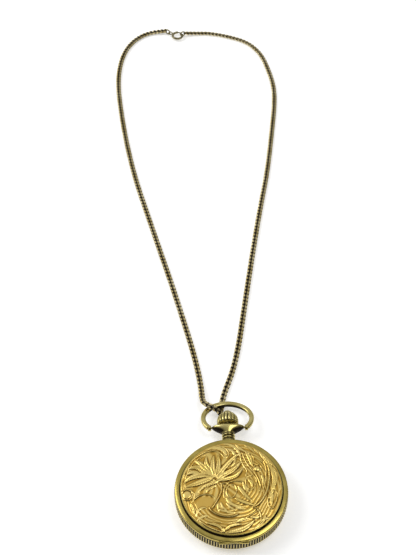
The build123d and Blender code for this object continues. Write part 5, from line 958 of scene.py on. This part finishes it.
for hour, figure in enumerate("I II III IV V VI VII VIII IX X XI XII".split(), 1):
    if figure == "VI":
        continue
    words = bpy.data.curves.new("hour_" + figure, "FONT")
    words.body = figure
    words.size = figure_size * mm
    words.align_x, words.align_y = "CENTER", "CENTER"
    words.extrude = print_thick / 2 * mm
    words.resolution_u = 2
    written = in_scene("hour_" + figure, words)
    mesh = evaluated_mesh(written, "hour_" + figure)
    bpy.data.objects.remove(written)
    angle = -math.radians(30 * hour)
    for vertex in mesh.vertices:
        x, y, z = vertex.co
        y += figure_radius * mm
        vertex.co = (x * math.cos(angle) - y * math.sin(angle),
                     x * math.sin(angle) + y * math.cos(angle),
                     z + (dial_top + print_thick / 2) * mm)
    mesh.materials.clear()
    mesh.materials.append(dial_print.material)
    printed.append(in_scene("hour_" + figure, mesh))
dial_marks = joined(*printed)
dial_marks.name = "dial_print"
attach(dial_marks, "case")

# Crystal: a disc of mineral glass, ground and polished on its edge and sprung into the
# bezel's groove. Its shape is the solid's own.
crystal_glass = Finish("crystal_glass", Roughness=0.02, Ior=1.5, Transmission_Weight=1.0)
crystal_glass.colour(crystal_glass.noise(60.0), (0.97, 0.98, 0.97), (1, 1, 1))

# Movement: plates and bridges of gilt brass with a frosted grain, wheels of polished
# brass, winding work and screws of grained steel, hands and hairspring blued by heat.
plate_gilt = Finish("plate_gilt", Metallic=1.0)
plate_grain = plate_gilt.noise(1800.0, 3.0)
plate_gilt.colour(plate_gilt.noise(120.0, 3.0), (0.72, 0.55, 0.25), (0.82, 0.66, 0.34))
plate_gilt.feed("Roughness", 0.3 + 0.15 * plate_grain)
plate_gilt.bump(plate_grain, 0.3, 0.00003)
wheel_brass = Finish("wheel_brass", Metallic=1.0)
wheel_grain = wheel_brass.noise(900.0, 3.0)
wheel_brass.colour(wheel_grain, (0.76, 0.55, 0.2), (0.86, 0.68, 0.32))
wheel_brass.feed("Roughness", 0.18 + 0.14 * wheel_grain)
wheel_brass.bump(wheel_grain, 0.12, 0.00002)
steel = Finish("grained_steel", Metallic=1.0)
steel_grain = steel.noise(700.0, 4.0)
steel.colour(steel_grain, (0.5, 0.5, 0.5), (0.66, 0.66, 0.65))
steel.feed("Roughness", 0.18 + 0.2 * steel_grain)
steel.bump(steel_grain, 0.1, 0.00002)
blued_steel = Finish("blued_steel", Metallic=1.0)
blue_cloud = blued_steel.noise(350.0, 2.0)
blued_steel.colour(blue_cloud, (0.02, 0.05, 0.26), (0.04, 0.1, 0.42))
blued_steel.feed("Roughness", 0.16 + 0.1 * blue_cloud)
blued_steel.bump(blue_cloud, 0.05, 0.00002)
finishes = {"case_gold": margin_gold, "pendant_gold": pendant_gold, "crystal": crystal_glass,
            "steel": steel, "blued_steel": blued_steel, "wheel_brass": wheel_brass,
            "plate": plate_gilt, "dial": dial_white, "chain_gold": chain_gold,
            "clasp_gold": clasp_gold}
for subpart in frame["record"]["subparts"]:
    finish = band_gold if subpart["node"] == "case_band" else finishes[subpart["material_slot"]]
    node_mesh = cad_nodes[subpart["node"]].data
    node_mesh.materials.clear()
    node_mesh.materials.append(finish.material)
